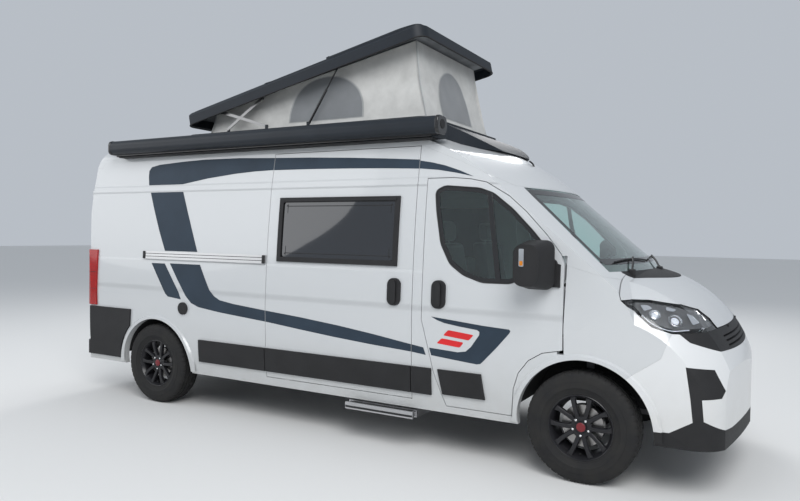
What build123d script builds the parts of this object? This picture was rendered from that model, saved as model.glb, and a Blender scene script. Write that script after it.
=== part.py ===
# Camper van: long high-roof panel van with a pop-up sleeping roof, a side awning and an entry step.
# Millimetres. +X is the front, +Y the left side, +Z up. The origin is on the ground, under the middle
# of the van's own box. The right side (-Y) carries the sliding door, the step and the awning.
import os
from math import atan2, cos, degrees, hypot, radians, sin, sqrt, tan

from build123d import *

os.makedirs("parts", exist_ok=True)

# Overall sizes
LENGTH = 5998.0
TRIM_PROUD = 16.0
REAR_END = -LENGTH / 2 + TRIM_PROUD
NOSE_END = LENGTH / 2
# Cuts start clear of the ends; the rear corners, valance and lamps reach this far forward of the rear face
AHEAD = NOSE_END + 101.0
BEHIND = REAR_END - 117.0
REAR_BAND = REAR_END + 123.0
VALANCE_BAND = REAR_END + 83.0
LAMP_BAND = REAR_END + 183.0
HINGE_BAND = REAR_END + 53.0
WHEELBASE = 4035.0
FRONT_AXLE_X = 2051.0
REAR_AXLE_X = FRONT_AXLE_X - WHEELBASE
HALF_WIDTH = 1025.0
ROOF_TOP = 2524.0
SILL_BOTTOM = 330.0
WALL = 45.0
REAR_ROUND = 125.0
REAR_LEAN = 40.0
REAR_CORNER_Y = 901.0
GLASS = 6.0
SEAM = 5.0
CLEAR = 0.3

# Body section: half widths at the heights where the side bends
SILL_HALF = 985.0
LOWER_HALF = 1018.0
LOWER_Z = 700.0
WAIST_Z = 1020.0
SHOULDER_Z = 2000.0
SHOULDER_HALF = 957.0
CANT_Z = 2290.0
CANT_HALF = 908.0
CROWN_HALF = 800.0
CROWN_Z = 2450.0

# Cab front: windscreen plane, forehead arc and the round nose
SCREEN_TOP_X = 1648.0
SCREEN_TOP_Z = 1991.0
SCREEN_SLOPE = 41.0
SCREEN_BASE_X = 2400.0
SCREEN_TURN_X = -600.0
COWL_FOOT_X = 2560.0
NOSE_AXIS_X = 2133.0
NOSE_AXIS_Z = 517.0
NOSE_RADIUS = 904.0
NOSE_CROWN = 4443.0

# Roof panel, doors and windows
GUTTER_Z = 2330.0
REAR_HEADER_Z = 2250.0
REAR_SILL_Z = 520.0
REAR_DOOR_HALF = 900.0
FLOOR_Z = 550.0
FLOOR_THICK = 50.0
CAB_FLOOR_Z = FLOOR_Z - 6
CAB_FLOOR_X = (650.0, 1590.0)
RAIL_Y = 440.0
RAIL_WIDTH = 80.0
RAIL_Z = (430.0, 502.0)
RAIL_FRONT = 2840.0

# Wheels: 225 mm wide tyres of 744 mm on 16 inch rims
TYRE_RADIUS = 372.0
TYRE_WIDTH = 225.0
BEAD_RADIUS = 203.0
FLANGE_RADIUS = 218.0
FRONT_TRACK = 1810.0
REAR_TRACK = 1790.0
HUB_RADIUS = 75.0
SPINDLE_RADIUS = 22.0
HUB_SEAT = 40.0
HUB_THICK = 40.0
DISC_RADIUS = 140.0
ARCH_RADIUS = 449.0
ARCH_Z = 375.0
FRONT_ARCH_X = 2065.0
FRONT_WELL_RADIUS = ARCH_RADIUS + 9
REAR_ARCH_X = -1962.0
REAR_ARCH_RADIUS = 452.0
REAR_ARCH_Z = 345.0
FLARE_WIDTH = 52.0
FLARE_NEAR = 1004.0
FLARE_DEPTH = 38.0
LINER = 12.0
LINER_FOOT = 470.0
KINGPIN_Y = 760.0

# Pop-up roof: a lid on crossed arms at the rear, which turns about one line behind it
LID_OPEN = 12.0
LID_PIVOT_X = -2180.0
LID_PIVOT_Z = 2560.0
LID_BACK = -1868.0
LID_FRONT = 770.0
LID_MIDDLE = (LID_BACK + LID_FRONT) / 2
LID_EDGE_Z = 2571.0
LID_HALF = 750.0
LID_HEIGHT = 108.0
LID_SKIN = 14.0
LID_BULGE = 34.0
ROOF_HOLE_HALF = 600.0
ROOF_HOLE_REAR = -1650.0
ROOF_HOLE_FRONT = 620.0
TENT_HALF = 610.0
TENT_SKIN = 12.0
TENT_TOP_HALF = 565.0
PLINTH_TOP = 2552.0
EYE_PLATE = 6.0
ARM_NEAR = 684.0
STRUT_TUBE = 11.0
STRUT_ROD = 6.0
STRUT_LENGTH = 330.0
FRAME_REAR = -1860.0
FRAME_FRONT = 745.0
FRAME_HALF = 742.0
FAIRING_TIP = 1260.0

# Awning and entry step
AWNING_REAR = -2590.0
AWNING_LENGTH = 3580.0
AWNING_Y = 985.0
AWNING_Z = 2428.0
AWNING_DEPTH = 150.0
AWNING_HEIGHT = 133.0
STEP_REAR = 228.0
STEP_FRONT = 833.0
STEP_Z = 264.0

# Hinges
HINGE_RADIUS = 9.0
HINGE_LENGTH = 70.0
FRONT_HINGE_X = 1916.0
FRONT_HINGE_Y = 1000.0
REAR_HINGE_X = REAR_END + 4
REAR_HINGE_Y = 936.0
FRONT_HINGE_Z = (930.0, 1270.0)
REAR_HINGE_Z = (700.0, 1300.0, 1950.0)
COWL_ARC_X = 1280.0
COWL_HALF = 742.0
COWL_ARC_RADIUS = 1220.0


def save(name, node):
    """Label one finished piece and write it."""
    name.part.label = node
    export_step(name.part, f"parts/{node}.step")


# Body form: what the skin encloses, with every wall moved inwards by inset


def plan_prism(inset, bottom):
    """Outline of the van from above."""
    back = REAR_END + inset
    side = HALF_WIDTH + 1 - inset
    cut = 0.7 * inset
    with BuildPart() as prism:
        with BuildSketch(Plane.XY.offset(bottom)):
            with BuildLine():
                Line((back, 0), (back, REAR_CORNER_Y))
                TangentArc((back, REAR_CORNER_Y), (REAR_END + REAR_ROUND, side), tangent=(0, 1))
                Line((REAR_END + REAR_ROUND, side), (1950, side))
                ThreePointArc((1950, side), (2330, 1016 - inset), (2700 - cut / 3, 990 - inset))
                ThreePointArc(
                    (2700 - cut / 3, 990 - inset), (2838 - cut, 936 - cut), (2905 - inset, 850 - cut / 3)
                )
                ThreePointArc((2905 - inset, 850 - cut / 3), (2964 - inset, 430), (NOSE_END - inset, 0))
                mirror(about=Plane.XZ)
            make_face()
        extrude(amount=ROOF_TOP)
    return prism.part


def section_prism(inset):
    """Cross-section with its tumblehome, crease lines and crowned roof."""
    with BuildPart() as prism:
        with BuildSketch(Plane.YZ.offset(REAR_END - 100)):
            with BuildLine():
                Polyline((0, 100), (SILL_HALF, 100), (SILL_HALF, SILL_BOTTOM))
                ThreePointArc((SILL_HALF, SILL_BOTTOM), (1005, 470), (LOWER_HALF, LOWER_Z))
                Line((LOWER_HALF, LOWER_Z), (HALF_WIDTH, WAIST_Z))
                ThreePointArc((HALF_WIDTH, WAIST_Z), (1003, 1510), (SHOULDER_HALF, SHOULDER_Z))
                Line((SHOULDER_HALF, SHOULDER_Z), (CANT_HALF, CANT_Z))
                ThreePointArc((CANT_HALF, CANT_Z), (870, 2390), (CROWN_HALF, CROWN_Z))
                ThreePointArc((CROWN_HALF, CROWN_Z), (420, 2506), (0, ROOF_TOP))
                mirror(about=Plane.YZ)
            make_face()
            offset(amount=-inset, kind=Kind.INTERSECTION)
        extrude(amount=LENGTH + 300)
    return prism.part


def rear_box(inset):
    """Side view of the load space, leaning in towards the roof at the back."""
    with BuildPart() as box:
        with BuildSketch(Plane.XZ):
            with BuildLine():
                Polyline((0, -100), (REAR_END + 14, -100), (REAR_END, 1000), (REAR_END + REAR_LEAN, 2250))
                ThreePointArc(
                    (REAR_END + REAR_LEAN, 2250), (REAR_END + 145, 2425), (REAR_END + 370, 2503)
                )
                Line((REAR_END + 370, 2503), (REAR_END + 620, ROOF_TOP))
                Polyline((REAR_END + 620, ROOF_TOP), (0, ROOF_TOP), (0, -100))
            make_face()
            offset(amount=-inset, kind=Kind.INTERSECTION)
        extrude(amount=HALF_WIDTH + 50, both=True)
        with BuildSketch(Plane.XZ):
            with Locations((inset / 2, ROOF_TOP / 2)):
                Rectangle(60 + inset * 2, ROOF_TOP - 2 * inset)
        extrude(amount=HALF_WIDTH + 50, both=True)
    return box.part


def cab_form(inset):
    """Forehead arc and windscreen, turned about an upright line so that they curve in plan."""
    slope = radians(SCREEN_SLOPE)
    radius = (ROOF_TOP - SCREEN_TOP_Z) / (1 - cos(slope))
    start = SCREEN_TOP_X - radius * sin(slope)
    centre_z = ROOF_TOP - radius
    inner = radius - inset
    top = ROOF_TOP - inset
    middle = (start + inner * sin(slope / 2), centre_z + inner * cos(slope / 2))
    end = (start + inner * sin(slope), centre_z + inner * cos(slope))
    base = (SCREEN_BASE_X, end[1] - (SCREEN_BASE_X - end[0]) * tan(slope))
    with BuildPart() as form:
        with BuildSketch(Plane.XZ):
            with BuildLine():
                Polyline((COWL_FOOT_X - inset, 0), (SCREEN_TURN_X, 0), (SCREEN_TURN_X, top), (start, top))
                ThreePointArc((start, top), middle, end)
                Line(end, base)
                ThreePointArc(base, (2512 - inset, 1180 - inset), (COWL_FOOT_X - inset, 900))
                Line((COWL_FOOT_X - inset, 900), (COWL_FOOT_X - inset, 0))
            make_face()
        revolve(axis=Axis((SCREEN_TURN_X, 0, 0), (0, 0, 1)), revolution_arc=360)
        split(bisect_by=Plane.YZ, keep=Keep.TOP)
    return form.part


def nose_form(inset):
    """Round nose: a crowned profile turned about a cross line through the cab's front."""
    edge_y = 780.0
    tip = NOSE_AXIS_X + NOSE_RADIUS - inset
    edge = tip - NOSE_CROWN + sqrt(NOSE_CROWN**2 - edge_y**2)
    middle = tip - NOSE_CROWN + sqrt(NOSE_CROWN**2 - (edge_y / 2) ** 2)
    shoulder = NOSE_AXIS_X + 724 - inset
    side_y = 1040 - inset
    with BuildPart() as form:
        with BuildSketch(Plane.XY.offset(NOSE_AXIS_Z)):
            with BuildLine():
                Line((NOSE_AXIS_X, 0), (tip, 0))
                ThreePointArc((tip, 0), (middle, edge_y / 2), (edge, edge_y))
                ThreePointArc((edge, edge_y), (shoulder, 930 - inset / 2), (NOSE_AXIS_X + 560, side_y))
                Polyline((NOSE_AXIS_X + 560, side_y), (NOSE_AXIS_X, side_y), (NOSE_AXIS_X, 0))
            make_face()
            mirror(about=Plane.XZ)
        revolve(axis=Axis((NOSE_AXIS_X, 0, NOSE_AXIS_Z), (0, 1, 0)), revolution_arc=360)
        with BuildSketch(Plane.XZ):
            with Locations((2560, 260)):
                Rectangle(900 - 2 * inset, 514)
        extrude(amount=HALF_WIDTH + 20, both=True)
    return form.part


def hull(inset, bottom):
    """Solid that fills the whole body."""
    forms = (rear_box(inset), cab_form(inset), nose_form(inset))
    section = section_prism(inset)
    plan = plan_prism(inset, bottom)
    with BuildPart() as body:
        add(forms)
        add(section, mode=Mode.INTERSECT)
        add(plan, mode=Mode.INTERSECT)
    return body.part


OUTER = hull(0, SILL_BOTTOM)
INNER = hull(WALL, SILL_BOTTOM - 100)
GLASS_OUTER = hull(3, SILL_BOTTOM - 50)
GLASS_INNER = hull(3 + GLASS, SILL_BOTTOM - 100)

with BuildPart() as skin:
    add(OUTER)
    add(INNER, mode=Mode.SUBTRACT)
with BuildPart() as pane_skin:
    add(GLASS_OUTER)
    add(GLASS_INNER, mode=Mode.SUBTRACT)
with BuildPart() as thick_hull:
    add(hull(-TRIM_PROUD, SILL_BOTTOM))
with BuildPart() as trim_skin:
    add(thick_hull.part)
    add(OUTER, mode=Mode.SUBTRACT)
SKIN = skin.part
PANE_SKIN = pane_skin.part
TRIM_SKIN = trim_skin.part

# Panel outlines in side view (x, z). The skin is cut along them, with a seam between neighbours.
DOOR_FOOT = ((1575, 383), (1590, 575), (1625, 690), (1695, 782), (1790, 842), (1930, 872))
FRONT_DOOR = (
    (1073, 383), (973, 625), (950, 715), (872, 1000), (872, 2045), (1081, 2045), (1219, 2032),
    (1343, 2006), (1520, 1905), (1650, 1795), (1800, 1640), (1905, 1510), (1930, 1440),
) + DOOR_FOOT[::-1]
FRONT_WINDOW = (
    (965, 1808), (948, 1950), (1020, 1985), (1293, 1962), (1400, 1925), (1546, 1815), (1694, 1670),
    (1825, 1525), (1835, 1470), (1560, 1300), (1346, 1298), (1200, 1344), (1092, 1418), (1013, 1563),
)
SLIDING_DOOR = ((-620, 402), (-620, 2294), (790, 2294), (790, 402))
SIDE_WINDOW = ((-490, 1400), (-490, 1903), (640, 1903), (640, 1400))
LAMP_TOP = ((2296, 1226), (2440, 1226), (2618, 1198), (2701, 1161), (2766, 1105), (2817, 1043))
LAMP_FOOT = ((2598, 1032), (2484, 1067), (2408, 1126))
HOOD = ((2250, 1480), (2262, 1351)) + LAMP_TOP + ((3100, 1034), (3100, 1480))
HEADLAMP = LAMP_TOP + LAMP_FOOT
GRILLE = ((2817, 1043), (3100, 1034), (3100, 878), (2864, 923), (2700, 982), (2640, 1030), (2598, 1032))
BUMPER_SEAM = ((2598, 1032), (2543, 878), (2377, 760), (2300, 700))
BUMPER = (
    ((2640, 1030), (2700, 982), (2864, 923), (AHEAD, 878), (AHEAD, 300), (2300, 300)) + BUMPER_SEAM[::-1]
)
BUMPER_LIP = (
    (2300, 200), (2300, 415), (2600, 425), (2735, 506), (2796, 513), (2930, 440), (AHEAD, 430), (AHEAD, 200),
)
BUMPER_INSERT = (
    (2735, 480), (2716, 650), (2686, 840), (2839, 823), (2902, 696), (2884, 652), (2781, 645), (2796, 480),
)
FENDER = (
    ((2065, 300), (1575, 300)) + DOOR_FOOT + ((1930, 1440), (2262, 1351)) + LAMP_TOP[:1]
    + LAMP_FOOT[::-1] + BUMPER_SEAM[1:]
)
ROOF_EDGE = (
    (REAR_BAND, GUTTER_Z), (720, GUTTER_Z), (1130, 2165), (1420, 2030), (1505, 1985), (1730, 1985)
)
ROOF = ((BEHIND, REAR_HEADER_Z), (REAR_BAND, REAR_HEADER_Z)) + ROOF_EDGE + ((1760, 2700), (BEHIND, 2700))
BODY_SIDE = (
    ((BEHIND, 300), (1575, 300)) + DOOR_FOOT + ((1930, 1440), (2262, 1351), (2262, 1985)) + ROOF_EDGE[::-1]
    + ((REAR_BAND, REAR_HEADER_Z), (BEHIND, REAR_HEADER_Z))
)
REAR_OPENING = (
    (BEHIND, REAR_SILL_Z), (BEHIND, REAR_HEADER_Z), (REAR_BAND, REAR_HEADER_Z), (REAR_BAND, REAR_SILL_Z)
)
REAR_WINDOW = ((BEHIND, 1420), (BEHIND, 1990), (REAR_BAND, 1990), (REAR_BAND, 1420))
REAR_VALANCE = (
    (BEHIND, 300), (BEHIND, REAR_SILL_Z), (VALANCE_BAND, REAR_SILL_Z), (VALANCE_BAND, 300)
)
TOE_BOARD = (
    (1650, 550), (1650, 500), (1715, 500), (2120, 880), (2170, 1290), (2150, 1290), (2098, 892), (1695, 550)
)


def side_prism(outline, inset=0.0, near=0.0, far=HALF_WIDTH + 80):
    """Prism through the right side, inside a side-view outline."""
    with BuildPart() as prism:
        with BuildSketch(Plane.XZ.offset(near)):
            with BuildLine():
                Polyline(*outline, close=True)
            make_face()
            if inset:
                offset(amount=-inset, kind=Kind.INTERSECTION)
        extrude(amount=far - near)
    return prism.part


def mirrored(part):
    """The same piece on the left side."""
    with BuildPart() as twin:
        add(part)
        mirror(about=Plane.XZ, mode=Mode.REPLACE)
    return twin.part


def both_prism(outline, inset=0.0, near=0.0, far=HALF_WIDTH + 80):
    """The same prism through both sides."""
    right = side_prism(outline, inset, near, far)
    left = mirrored(right)
    with BuildPart() as prism:
        add([right, left])
    return prism.part


def cross_cylinder(x, z, radius, near, far=HALF_WIDTH + 80):
    """Cylinder across the right side."""
    with BuildPart() as cylinder:
        with BuildSketch(Plane.XZ.offset(near)):
            with Locations((x, z)):
                Circle(radius)
        extrude(amount=far - near)
    return cylinder.part


def bar(start, end, y, height, thick):
    """Flat bar with round ends between two points (x, z), its near face at y."""
    angle = degrees(atan2(end[1] - start[1], end[0] - start[0]))
    middle = ((start[0] + end[0]) / 2, (start[1] + end[1]) / 2)
    with BuildPart() as piece:
        with BuildSketch(Plane.XZ.offset(y)):
            with Locations(middle):
                SlotCenterToCenter(hypot(end[0] - start[0], end[1] - start[1]), height, rotation=angle)
        extrude(amount=thick)
    return piece.part


def rod(start, end, y, radius, taken=0.0, left=0.0):
    """Round rod in the plane y, between two points (x, z), less a length at each end."""
    length = hypot(end[0] - start[0], end[1] - start[1])
    along = ((end[0] - start[0]) / length, (end[1] - start[1]) / length)
    foot = (start[0] + along[0] * taken, -y, start[1] + along[1] * taken)
    plane = Plane(origin=foot, x_dir=(0, 1, 0), z_dir=(along[0], 0, along[1]))
    with BuildPart() as piece:
        with BuildSketch(plane):
            Circle(radius)
        extrude(amount=length - taken - left)
    return piece.part


def block(x, y, z):
    """Box between two corners, given as (low, high) in each direction."""
    with BuildPart() as box:
        with BuildSketch(Plane.XY.offset(z[0])):
            with Locations(((x[0] + x[1]) / 2, (y[0] + y[1]) / 2)):
                Rectangle(x[1] - x[0], y[1] - y[0])
        extrude(amount=z[1] - z[0])
    return box.part


def pin(x, y, z, radius=HINGE_RADIUS):
    """Upright round bar from z[0] to z[1]."""
    with BuildPart() as bar:
        with BuildSketch(Plane.XY.offset(z[0])):
            with Locations((x, y)):
                Circle(radius)
        extrude(amount=z[1] - z[0])
    return bar.part


def door_hinge(x, y, foot, fixed, turning):
    """One door hinge on an upright axis: lugs that stay, a knuckle that turns between them, and its pocket.

    fixed and turning give, in plan, the blocks ((x low, x high), (y low, y high)) that carry them.
    """
    third = HINGE_LENGTH / 3
    low = (foot, foot + third)
    middle = (foot + third + CLEAR, foot + 2 * third - CLEAR)
    high = (foot + 2 * third, foot + HINGE_LENGTH)
    lugs = [shape for z in (low, high) for shape in [pin(x, y, z)] + [block(*plan, z) for plan in fixed]]
    knuckle = [pin(x, y, middle), block(*turning, middle)]
    gap = HINGE_RADIUS + SEAM
    pocket = block(
        (min(x - gap, turning[0][0] - SEAM), max(x + gap, turning[0][1] + SEAM)),
        (min(y - gap, turning[1][0] - SEAM), max(y + gap, turning[1][1] + SEAM)),
        (foot + third, foot + 2 * third),
    )
    return lugs, knuckle, pocket


# Windscreen: a band of the cab's front between two slanting sides, down to the cowl
def screen_prism(inset):
    with BuildPart() as band:
        with BuildSketch(Plane.YZ.offset(1300)):
            with BuildLine():
                Polyline((-737, 1978), (737, 1978), (893, 1380), (-893, 1380), close=True)
            make_face()
            if inset:
                offset(amount=-inset, kind=Kind.INTERSECTION)
        extrude(amount=1300)
        with BuildSketch(Plane.XY.offset(1300)):
            with Locations((SCREEN_TURN_X, 0)):
                Circle(SCREEN_BASE_X - 70 - SCREEN_TURN_X - inset)
        extrude(amount=800, mode=Mode.INTERSECT)
    return band.part


def cowl_prism(inset):
    """Band under the windscreen's foot, up to the rounded rear edge of the hood."""
    with BuildPart() as crescent:
        with BuildSketch(Plane.XY.offset(1200)):
            with Locations((COWL_ARC_X, 0)):
                Circle(COWL_ARC_RADIUS - inset)
            with Locations((2400, 0)):
                Rectangle(500 - 2 * inset, 2 * (COWL_HALF - inset), mode=Mode.INTERSECT)
        extrude(amount=400)
    return crescent.part


screen_opening = screen_prism(0)
screen_cut = screen_prism(2 * CLEAR)
cowl_opening = cowl_prism(0)
cowl_cut = cowl_prism(CLEAR)
hood_edge = cowl_prism(-SEAM)
front_arch = cross_cylinder(FRONT_ARCH_X, ARCH_Z, ARCH_RADIUS, 500)
rear_arch = cross_cylinder(REAR_ARCH_X, REAR_ARCH_Z, REAR_ARCH_RADIUS, 500)
front_hinges = [
    door_hinge(
        FRONT_HINGE_X, -FRONT_HINGE_Y, foot,
        fixed=(((1909, 1923), (-1000, -960)), ((1905, 1985), (-970, -948)), ((1953, 1985), (-1000, -960))),
        turning=((1870, FRONT_HINGE_X), (-1007, -993)),
    )
    for foot in FRONT_HINGE_Z
]
rear_hinges = [
    door_hinge(
        REAR_HINGE_X, -REAR_HINGE_Y, foot,
        fixed=(((REAR_HINGE_X, REAR_HINGE_X + 50), (-945, -927)),),
        turning=((REAR_HINGE_X - 7, REAR_HINGE_X + 50), (-REAR_HINGE_Y, -888)),
    )
    for foot in REAR_HINGE_Z
]
front_reliefs = [
    block((1895, 1932), (-1013, -940), (foot, foot + HINGE_LENGTH)) for foot in FRONT_HINGE_Z
]
hinge_relief = pin(FRONT_HINGE_X, -FRONT_HINGE_Y, (846, 1500), radius=31)


def parts_of(hinges, which):
    """All lugs (0), knuckles (1) or pockets (2) of a row of hinges."""
    found = [hinge[which] for hinge in hinges]
    return found if which == 2 else [shape for group in found for shape in group]


def arch_flare(x, z, radius, margin):
    """Chamfered lip round a wheel opening, proud of the skin, right side; margin is kept free."""
    with BuildPart() as lip:
        with BuildSketch(Plane.XZ.offset(FLARE_NEAR)):
            with Locations((x, z)):
                Circle(radius + FLARE_WIDTH)
        extrude(amount=FLARE_DEPTH, taper=40)
        add(TRIM_SKIN, mode=Mode.INTERSECT)
        if margin:
            add(margin, mode=Mode.SUBTRACT)
    return lip.part


# Body side with its pillars and sill, right, then mirrored with the left side's own window
side_form = side_prism(BODY_SIDE, CLEAR)
door_opening = side_prism(FRONT_DOOR, -SEAM / 2, near=500)
door_margin = side_prism(FRONT_DOOR, -2 * SEAM, near=500)
front_flare = arch_flare(FRONT_ARCH_X, ARCH_Z, ARCH_RADIUS, door_margin)
rear_flare = arch_flare(REAR_ARCH_X, REAR_ARCH_Z, REAR_ARCH_RADIUS, None)
slide_opening = side_prism(SLIDING_DOOR, -SEAM / 2, near=500)
rear_opening = side_prism(REAR_OPENING, 0, near=-5, far=REAR_DOOR_HALF)
valance_opening = side_prism(REAR_VALANCE, 0, near=-5, far=REAR_DOOR_HALF)
window_opening = side_prism(SIDE_WINDOW, near=500)
with BuildPart() as side_shell:
    add(SKIN)
    add(side_form, mode=Mode.INTERSECT)
    add(rear_flare)
    add([door_opening, rear_opening, valance_opening], mode=Mode.SUBTRACT)
    add([rear_arch, screen_opening, cowl_opening, hinge_relief], mode=Mode.SUBTRACT)
    add(parts_of(rear_hinges, 2), mode=Mode.SUBTRACT)
    add(parts_of(rear_hinges, 0))
with BuildPart() as body_side_right:
    add(side_shell.part)
    add(slide_opening, mode=Mode.SUBTRACT)
    add([block((x - 20, x + 20), (-992, -975), (390, 402 + SEAM / 2)) for x in (-400, 600)])
save(body_side_right, "body_side_right")
left_shell = mirrored(side_shell.part)
left_window = mirrored(window_opening)
with BuildPart() as body_side_left:
    add(left_shell)
    add(left_window, mode=Mode.SUBTRACT)
save(body_side_left, "body_side_left")

# Front door, right, then the same door mirrored
door_cut = side_prism(FRONT_DOOR, SEAM / 2, near=500)
window_cut = side_prism(FRONT_WINDOW, near=500)
pane_cut = side_prism(FRONT_WINDOW, CLEAR, near=500)
with BuildPart() as front_door_right:
    add(SKIN)
    add(door_cut, mode=Mode.INTERSECT)
    add([window_cut] + front_reliefs, mode=Mode.SUBTRACT)
    add(parts_of(front_hinges, 1))
with BuildPart() as door_glass_right:
    add(PANE_SKIN)
    add(pane_cut, mode=Mode.INTERSECT)

# Sliding door and the side windows
slide_cut = side_prism(SLIDING_DOOR, SEAM / 2, near=500)
side_pane_cut = side_prism(SIDE_WINDOW, CLEAR, near=500)
with BuildPart() as sliding_door:
    add(SKIN)
    add(slide_cut, mode=Mode.INTERSECT)
    add(window_opening, mode=Mode.SUBTRACT)
with BuildPart() as side_pane:
    add(PANE_SKIN)
    add(side_pane_cut, mode=Mode.INTERSECT)
left_pane = mirrored(side_pane.part)
with BuildPart() as side_windows:
    add([side_pane.part, left_pane])
save(sliding_door, "sliding_door")
save(side_windows, "side_windows")

# Rear doors with their windows
rear_cut = side_prism(REAR_OPENING, SEAM, near=SEAM / 2, far=REAR_DOOR_HALF - SEAM)
rear_window = side_prism(REAR_WINDOW, near=150, far=760)
rear_pane_cut = side_prism(REAR_WINDOW, CLEAR, near=150 + CLEAR, far=760 - CLEAR)
with BuildPart() as rear_door_right:
    add(SKIN)
    add(rear_cut, mode=Mode.INTERSECT)
    add(rear_window, mode=Mode.SUBTRACT)
    add(parts_of(rear_hinges, 1))
with BuildPart() as rear_glass_right:
    add(PANE_SKIN)
    add(rear_pane_cut, mode=Mode.INTERSECT)

for node, part in (
    ("front_door", front_door_right.part),
    ("door_glass", door_glass_right.part),
    ("rear_door", rear_door_right.part),
    ("rear_glass", rear_glass_right.part),
):
    for side, shape in (("right", part), ("left", mirrored(part))):
        with BuildPart() as piece:
            add(shape)
        save(piece, f"{node}_{side}")

# Roof panel with the hole under the pop-up roof
roof_cut = both_prism(ROOF, CLEAR)
with BuildPart() as roof_panel:
    add(SKIN)
    add(roof_cut, mode=Mode.INTERSECT)
    add(screen_opening, mode=Mode.SUBTRACT)
    with BuildSketch(Plane.XY.offset(2300)):
        with Locations(((ROOF_HOLE_REAR + ROOF_HOLE_FRONT) / 2, 0)):
            RectangleRounded(ROOF_HOLE_FRONT - ROOF_HOLE_REAR, 2 * ROOF_HOLE_HALF, 80)
    extrude(amount=300, mode=Mode.SUBTRACT)
save(roof_panel, "roof_panel")

# Nose panels
hood_cut = both_prism(HOOD, SEAM)
bumper_cut = both_prism(BUMPER, CLEAR)
grille_cut = both_prism(GRILLE, CLEAR)
lamp_cut = both_prism(HEADLAMP, CLEAR, near=600)
lamp_opening = both_prism(HEADLAMP, 0, near=600 - CLEAR)
fender_cut = side_prism(FENDER, CLEAR)
front_arches = [front_arch, mirrored(front_arch)]
with BuildPart() as bumper_flare:
    add(front_flare)
    add(bumper_cut, mode=Mode.INTERSECT)
with BuildPart() as fender_flare:
    add(front_flare)
    add(fender_cut, mode=Mode.INTERSECT)
flares = [bumper_flare.part, mirrored(bumper_flare.part)]


def bumper_black(inset):
    """Zone of the front bumper that is black: the lip below and an insert at each corner."""
    lip = both_prism(BUMPER_LIP, inset)
    inserts = both_prism(BUMPER_INSERT, inset, near=700 + inset)
    with BuildPart() as zone:
        add([lip, inserts])
    return zone.part


black_opening = bumper_black(0)
black_cut = bumper_black(CLEAR)
grille_slots = [block((2700, 3100), (-560, 560), (z, z + 12)) for z in (932, 960, 988)]
NOSE_PANELS = (
    # node, cutter, additions, openings
    ("hood", hood_cut, [], [hood_edge, screen_opening]),
    ("front_bumper", bumper_cut, flares, front_arches + [black_opening]),
    ("grille", grille_cut, [], [lamp_opening] + grille_slots),
    ("headlamps", lamp_cut, [], []),
    ("cowl", cowl_cut, [], [screen_opening]),
)
hood_stops = [block((2848, 2868), (y - 12, y + 12), (1000, 1046.2)) for y in (-300, 300)]
for node, cutter, additions, openings in NOSE_PANELS:
    with BuildPart() as panel:
        add(SKIN)
        add(cutter, mode=Mode.INTERSECT)
        if additions:
            add(additions)
        if openings:
            add(openings, mode=Mode.SUBTRACT)
        if node == "grille":
            add(hood_stops)
    save(panel, node)
with BuildPart() as bumper_trim:
    add(SKIN)
    add(bumper_cut, mode=Mode.INTERSECT)
    add(flares)
    add(black_cut, mode=Mode.INTERSECT)
    add(front_arches, mode=Mode.SUBTRACT)
save(bumper_trim, "bumper_trim")
with BuildPart() as fender_right:
    add(SKIN)
    add(fender_cut, mode=Mode.INTERSECT)
    add(fender_flare.part)
    add([front_arch, cowl_opening, screen_opening, hinge_relief, door_opening], mode=Mode.SUBTRACT)
    add(parts_of(front_hinges, 0))
save(fender_right, "fender_right")
fender_twin = mirrored(fender_right.part)
with BuildPart() as fender_left:
    add(fender_twin)
save(fender_left, "fender_left")
with BuildPart() as windscreen:
    add(PANE_SKIN)
    add(screen_cut, mode=Mode.INTERSECT)
save(windscreen, "windscreen")


# Floor with its wheel housings, rear valance and the toe board that closes the cab
def housing(x, z, radius, wall_near):
    """Inner wheel housing: a rolled sheet and its inner wall, right side."""
    outer = cross_cylinder(x, z, radius + LINER, wall_near)
    inner = cross_cylinder(x, z, radius, wall_near + LINER)
    trim = block((x - 700, x + 700), (-HALF_WIDTH, 0), (LINER_FOOT, 1100))
    with BuildPart() as sheet:
        add(outer)
        add(inner, mode=Mode.SUBTRACT)
        add(trim, mode=Mode.INTERSECT)
        add(INNER, mode=Mode.INTERSECT)
    return sheet.part


front_housing = housing(FRONT_ARCH_X, ARCH_Z, FRONT_WELL_RADIUS, 560)
rear_housing = housing(REAR_ARCH_X, REAR_ARCH_Z, REAR_ARCH_RADIUS, 630)
well_cutters = [
    shape
    for cutter in (
        cross_cylinder(FRONT_ARCH_X, ARCH_Z, FRONT_WELL_RADIUS + 1, 560 + LINER),
        cross_cylinder(REAR_ARCH_X, REAR_ARCH_Z, REAR_ARCH_RADIUS + 1, 630 + LINER),
    )
    for shape in (cutter, mirrored(cutter))
]
floor_slab = block((REAR_END, 1700), (-HALF_WIDTH, HALF_WIDTH), (FLOOR_Z - FLOOR_THICK, FLOOR_Z))
rails = [
    block((1600, RAIL_FRONT), (y - RAIL_WIDTH / 2, y + RAIL_WIDTH / 2), RAIL_Z) for y in (-RAIL_Y, RAIL_Y)
]
toe_board = side_prism(TOE_BOARD)
toe_twin = mirrored(toe_board)
valance = both_prism(REAR_VALANCE, CLEAR, far=REAR_DOOR_HALF - CLEAR)
with BuildPart() as valance_skin:
    add(SKIN)
    add(valance, mode=Mode.INTERSECT)
    add(rear_opening, mode=Mode.SUBTRACT)
with BuildPart() as floor_pan:
    add([floor_slab, toe_board, toe_twin] + rails)
    add(block(CAB_FLOOR_X, (-HALF_WIDTH, HALF_WIDTH), (CAB_FLOOR_Z, FLOOR_Z + 1)), mode=Mode.SUBTRACT)
    add(INNER, mode=Mode.INTERSECT)
    add(well_cutters, mode=Mode.SUBTRACT)
    add([front_housing, mirrored(front_housing), rear_housing, mirrored(rear_housing)])
    add(valance_skin.part)
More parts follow.
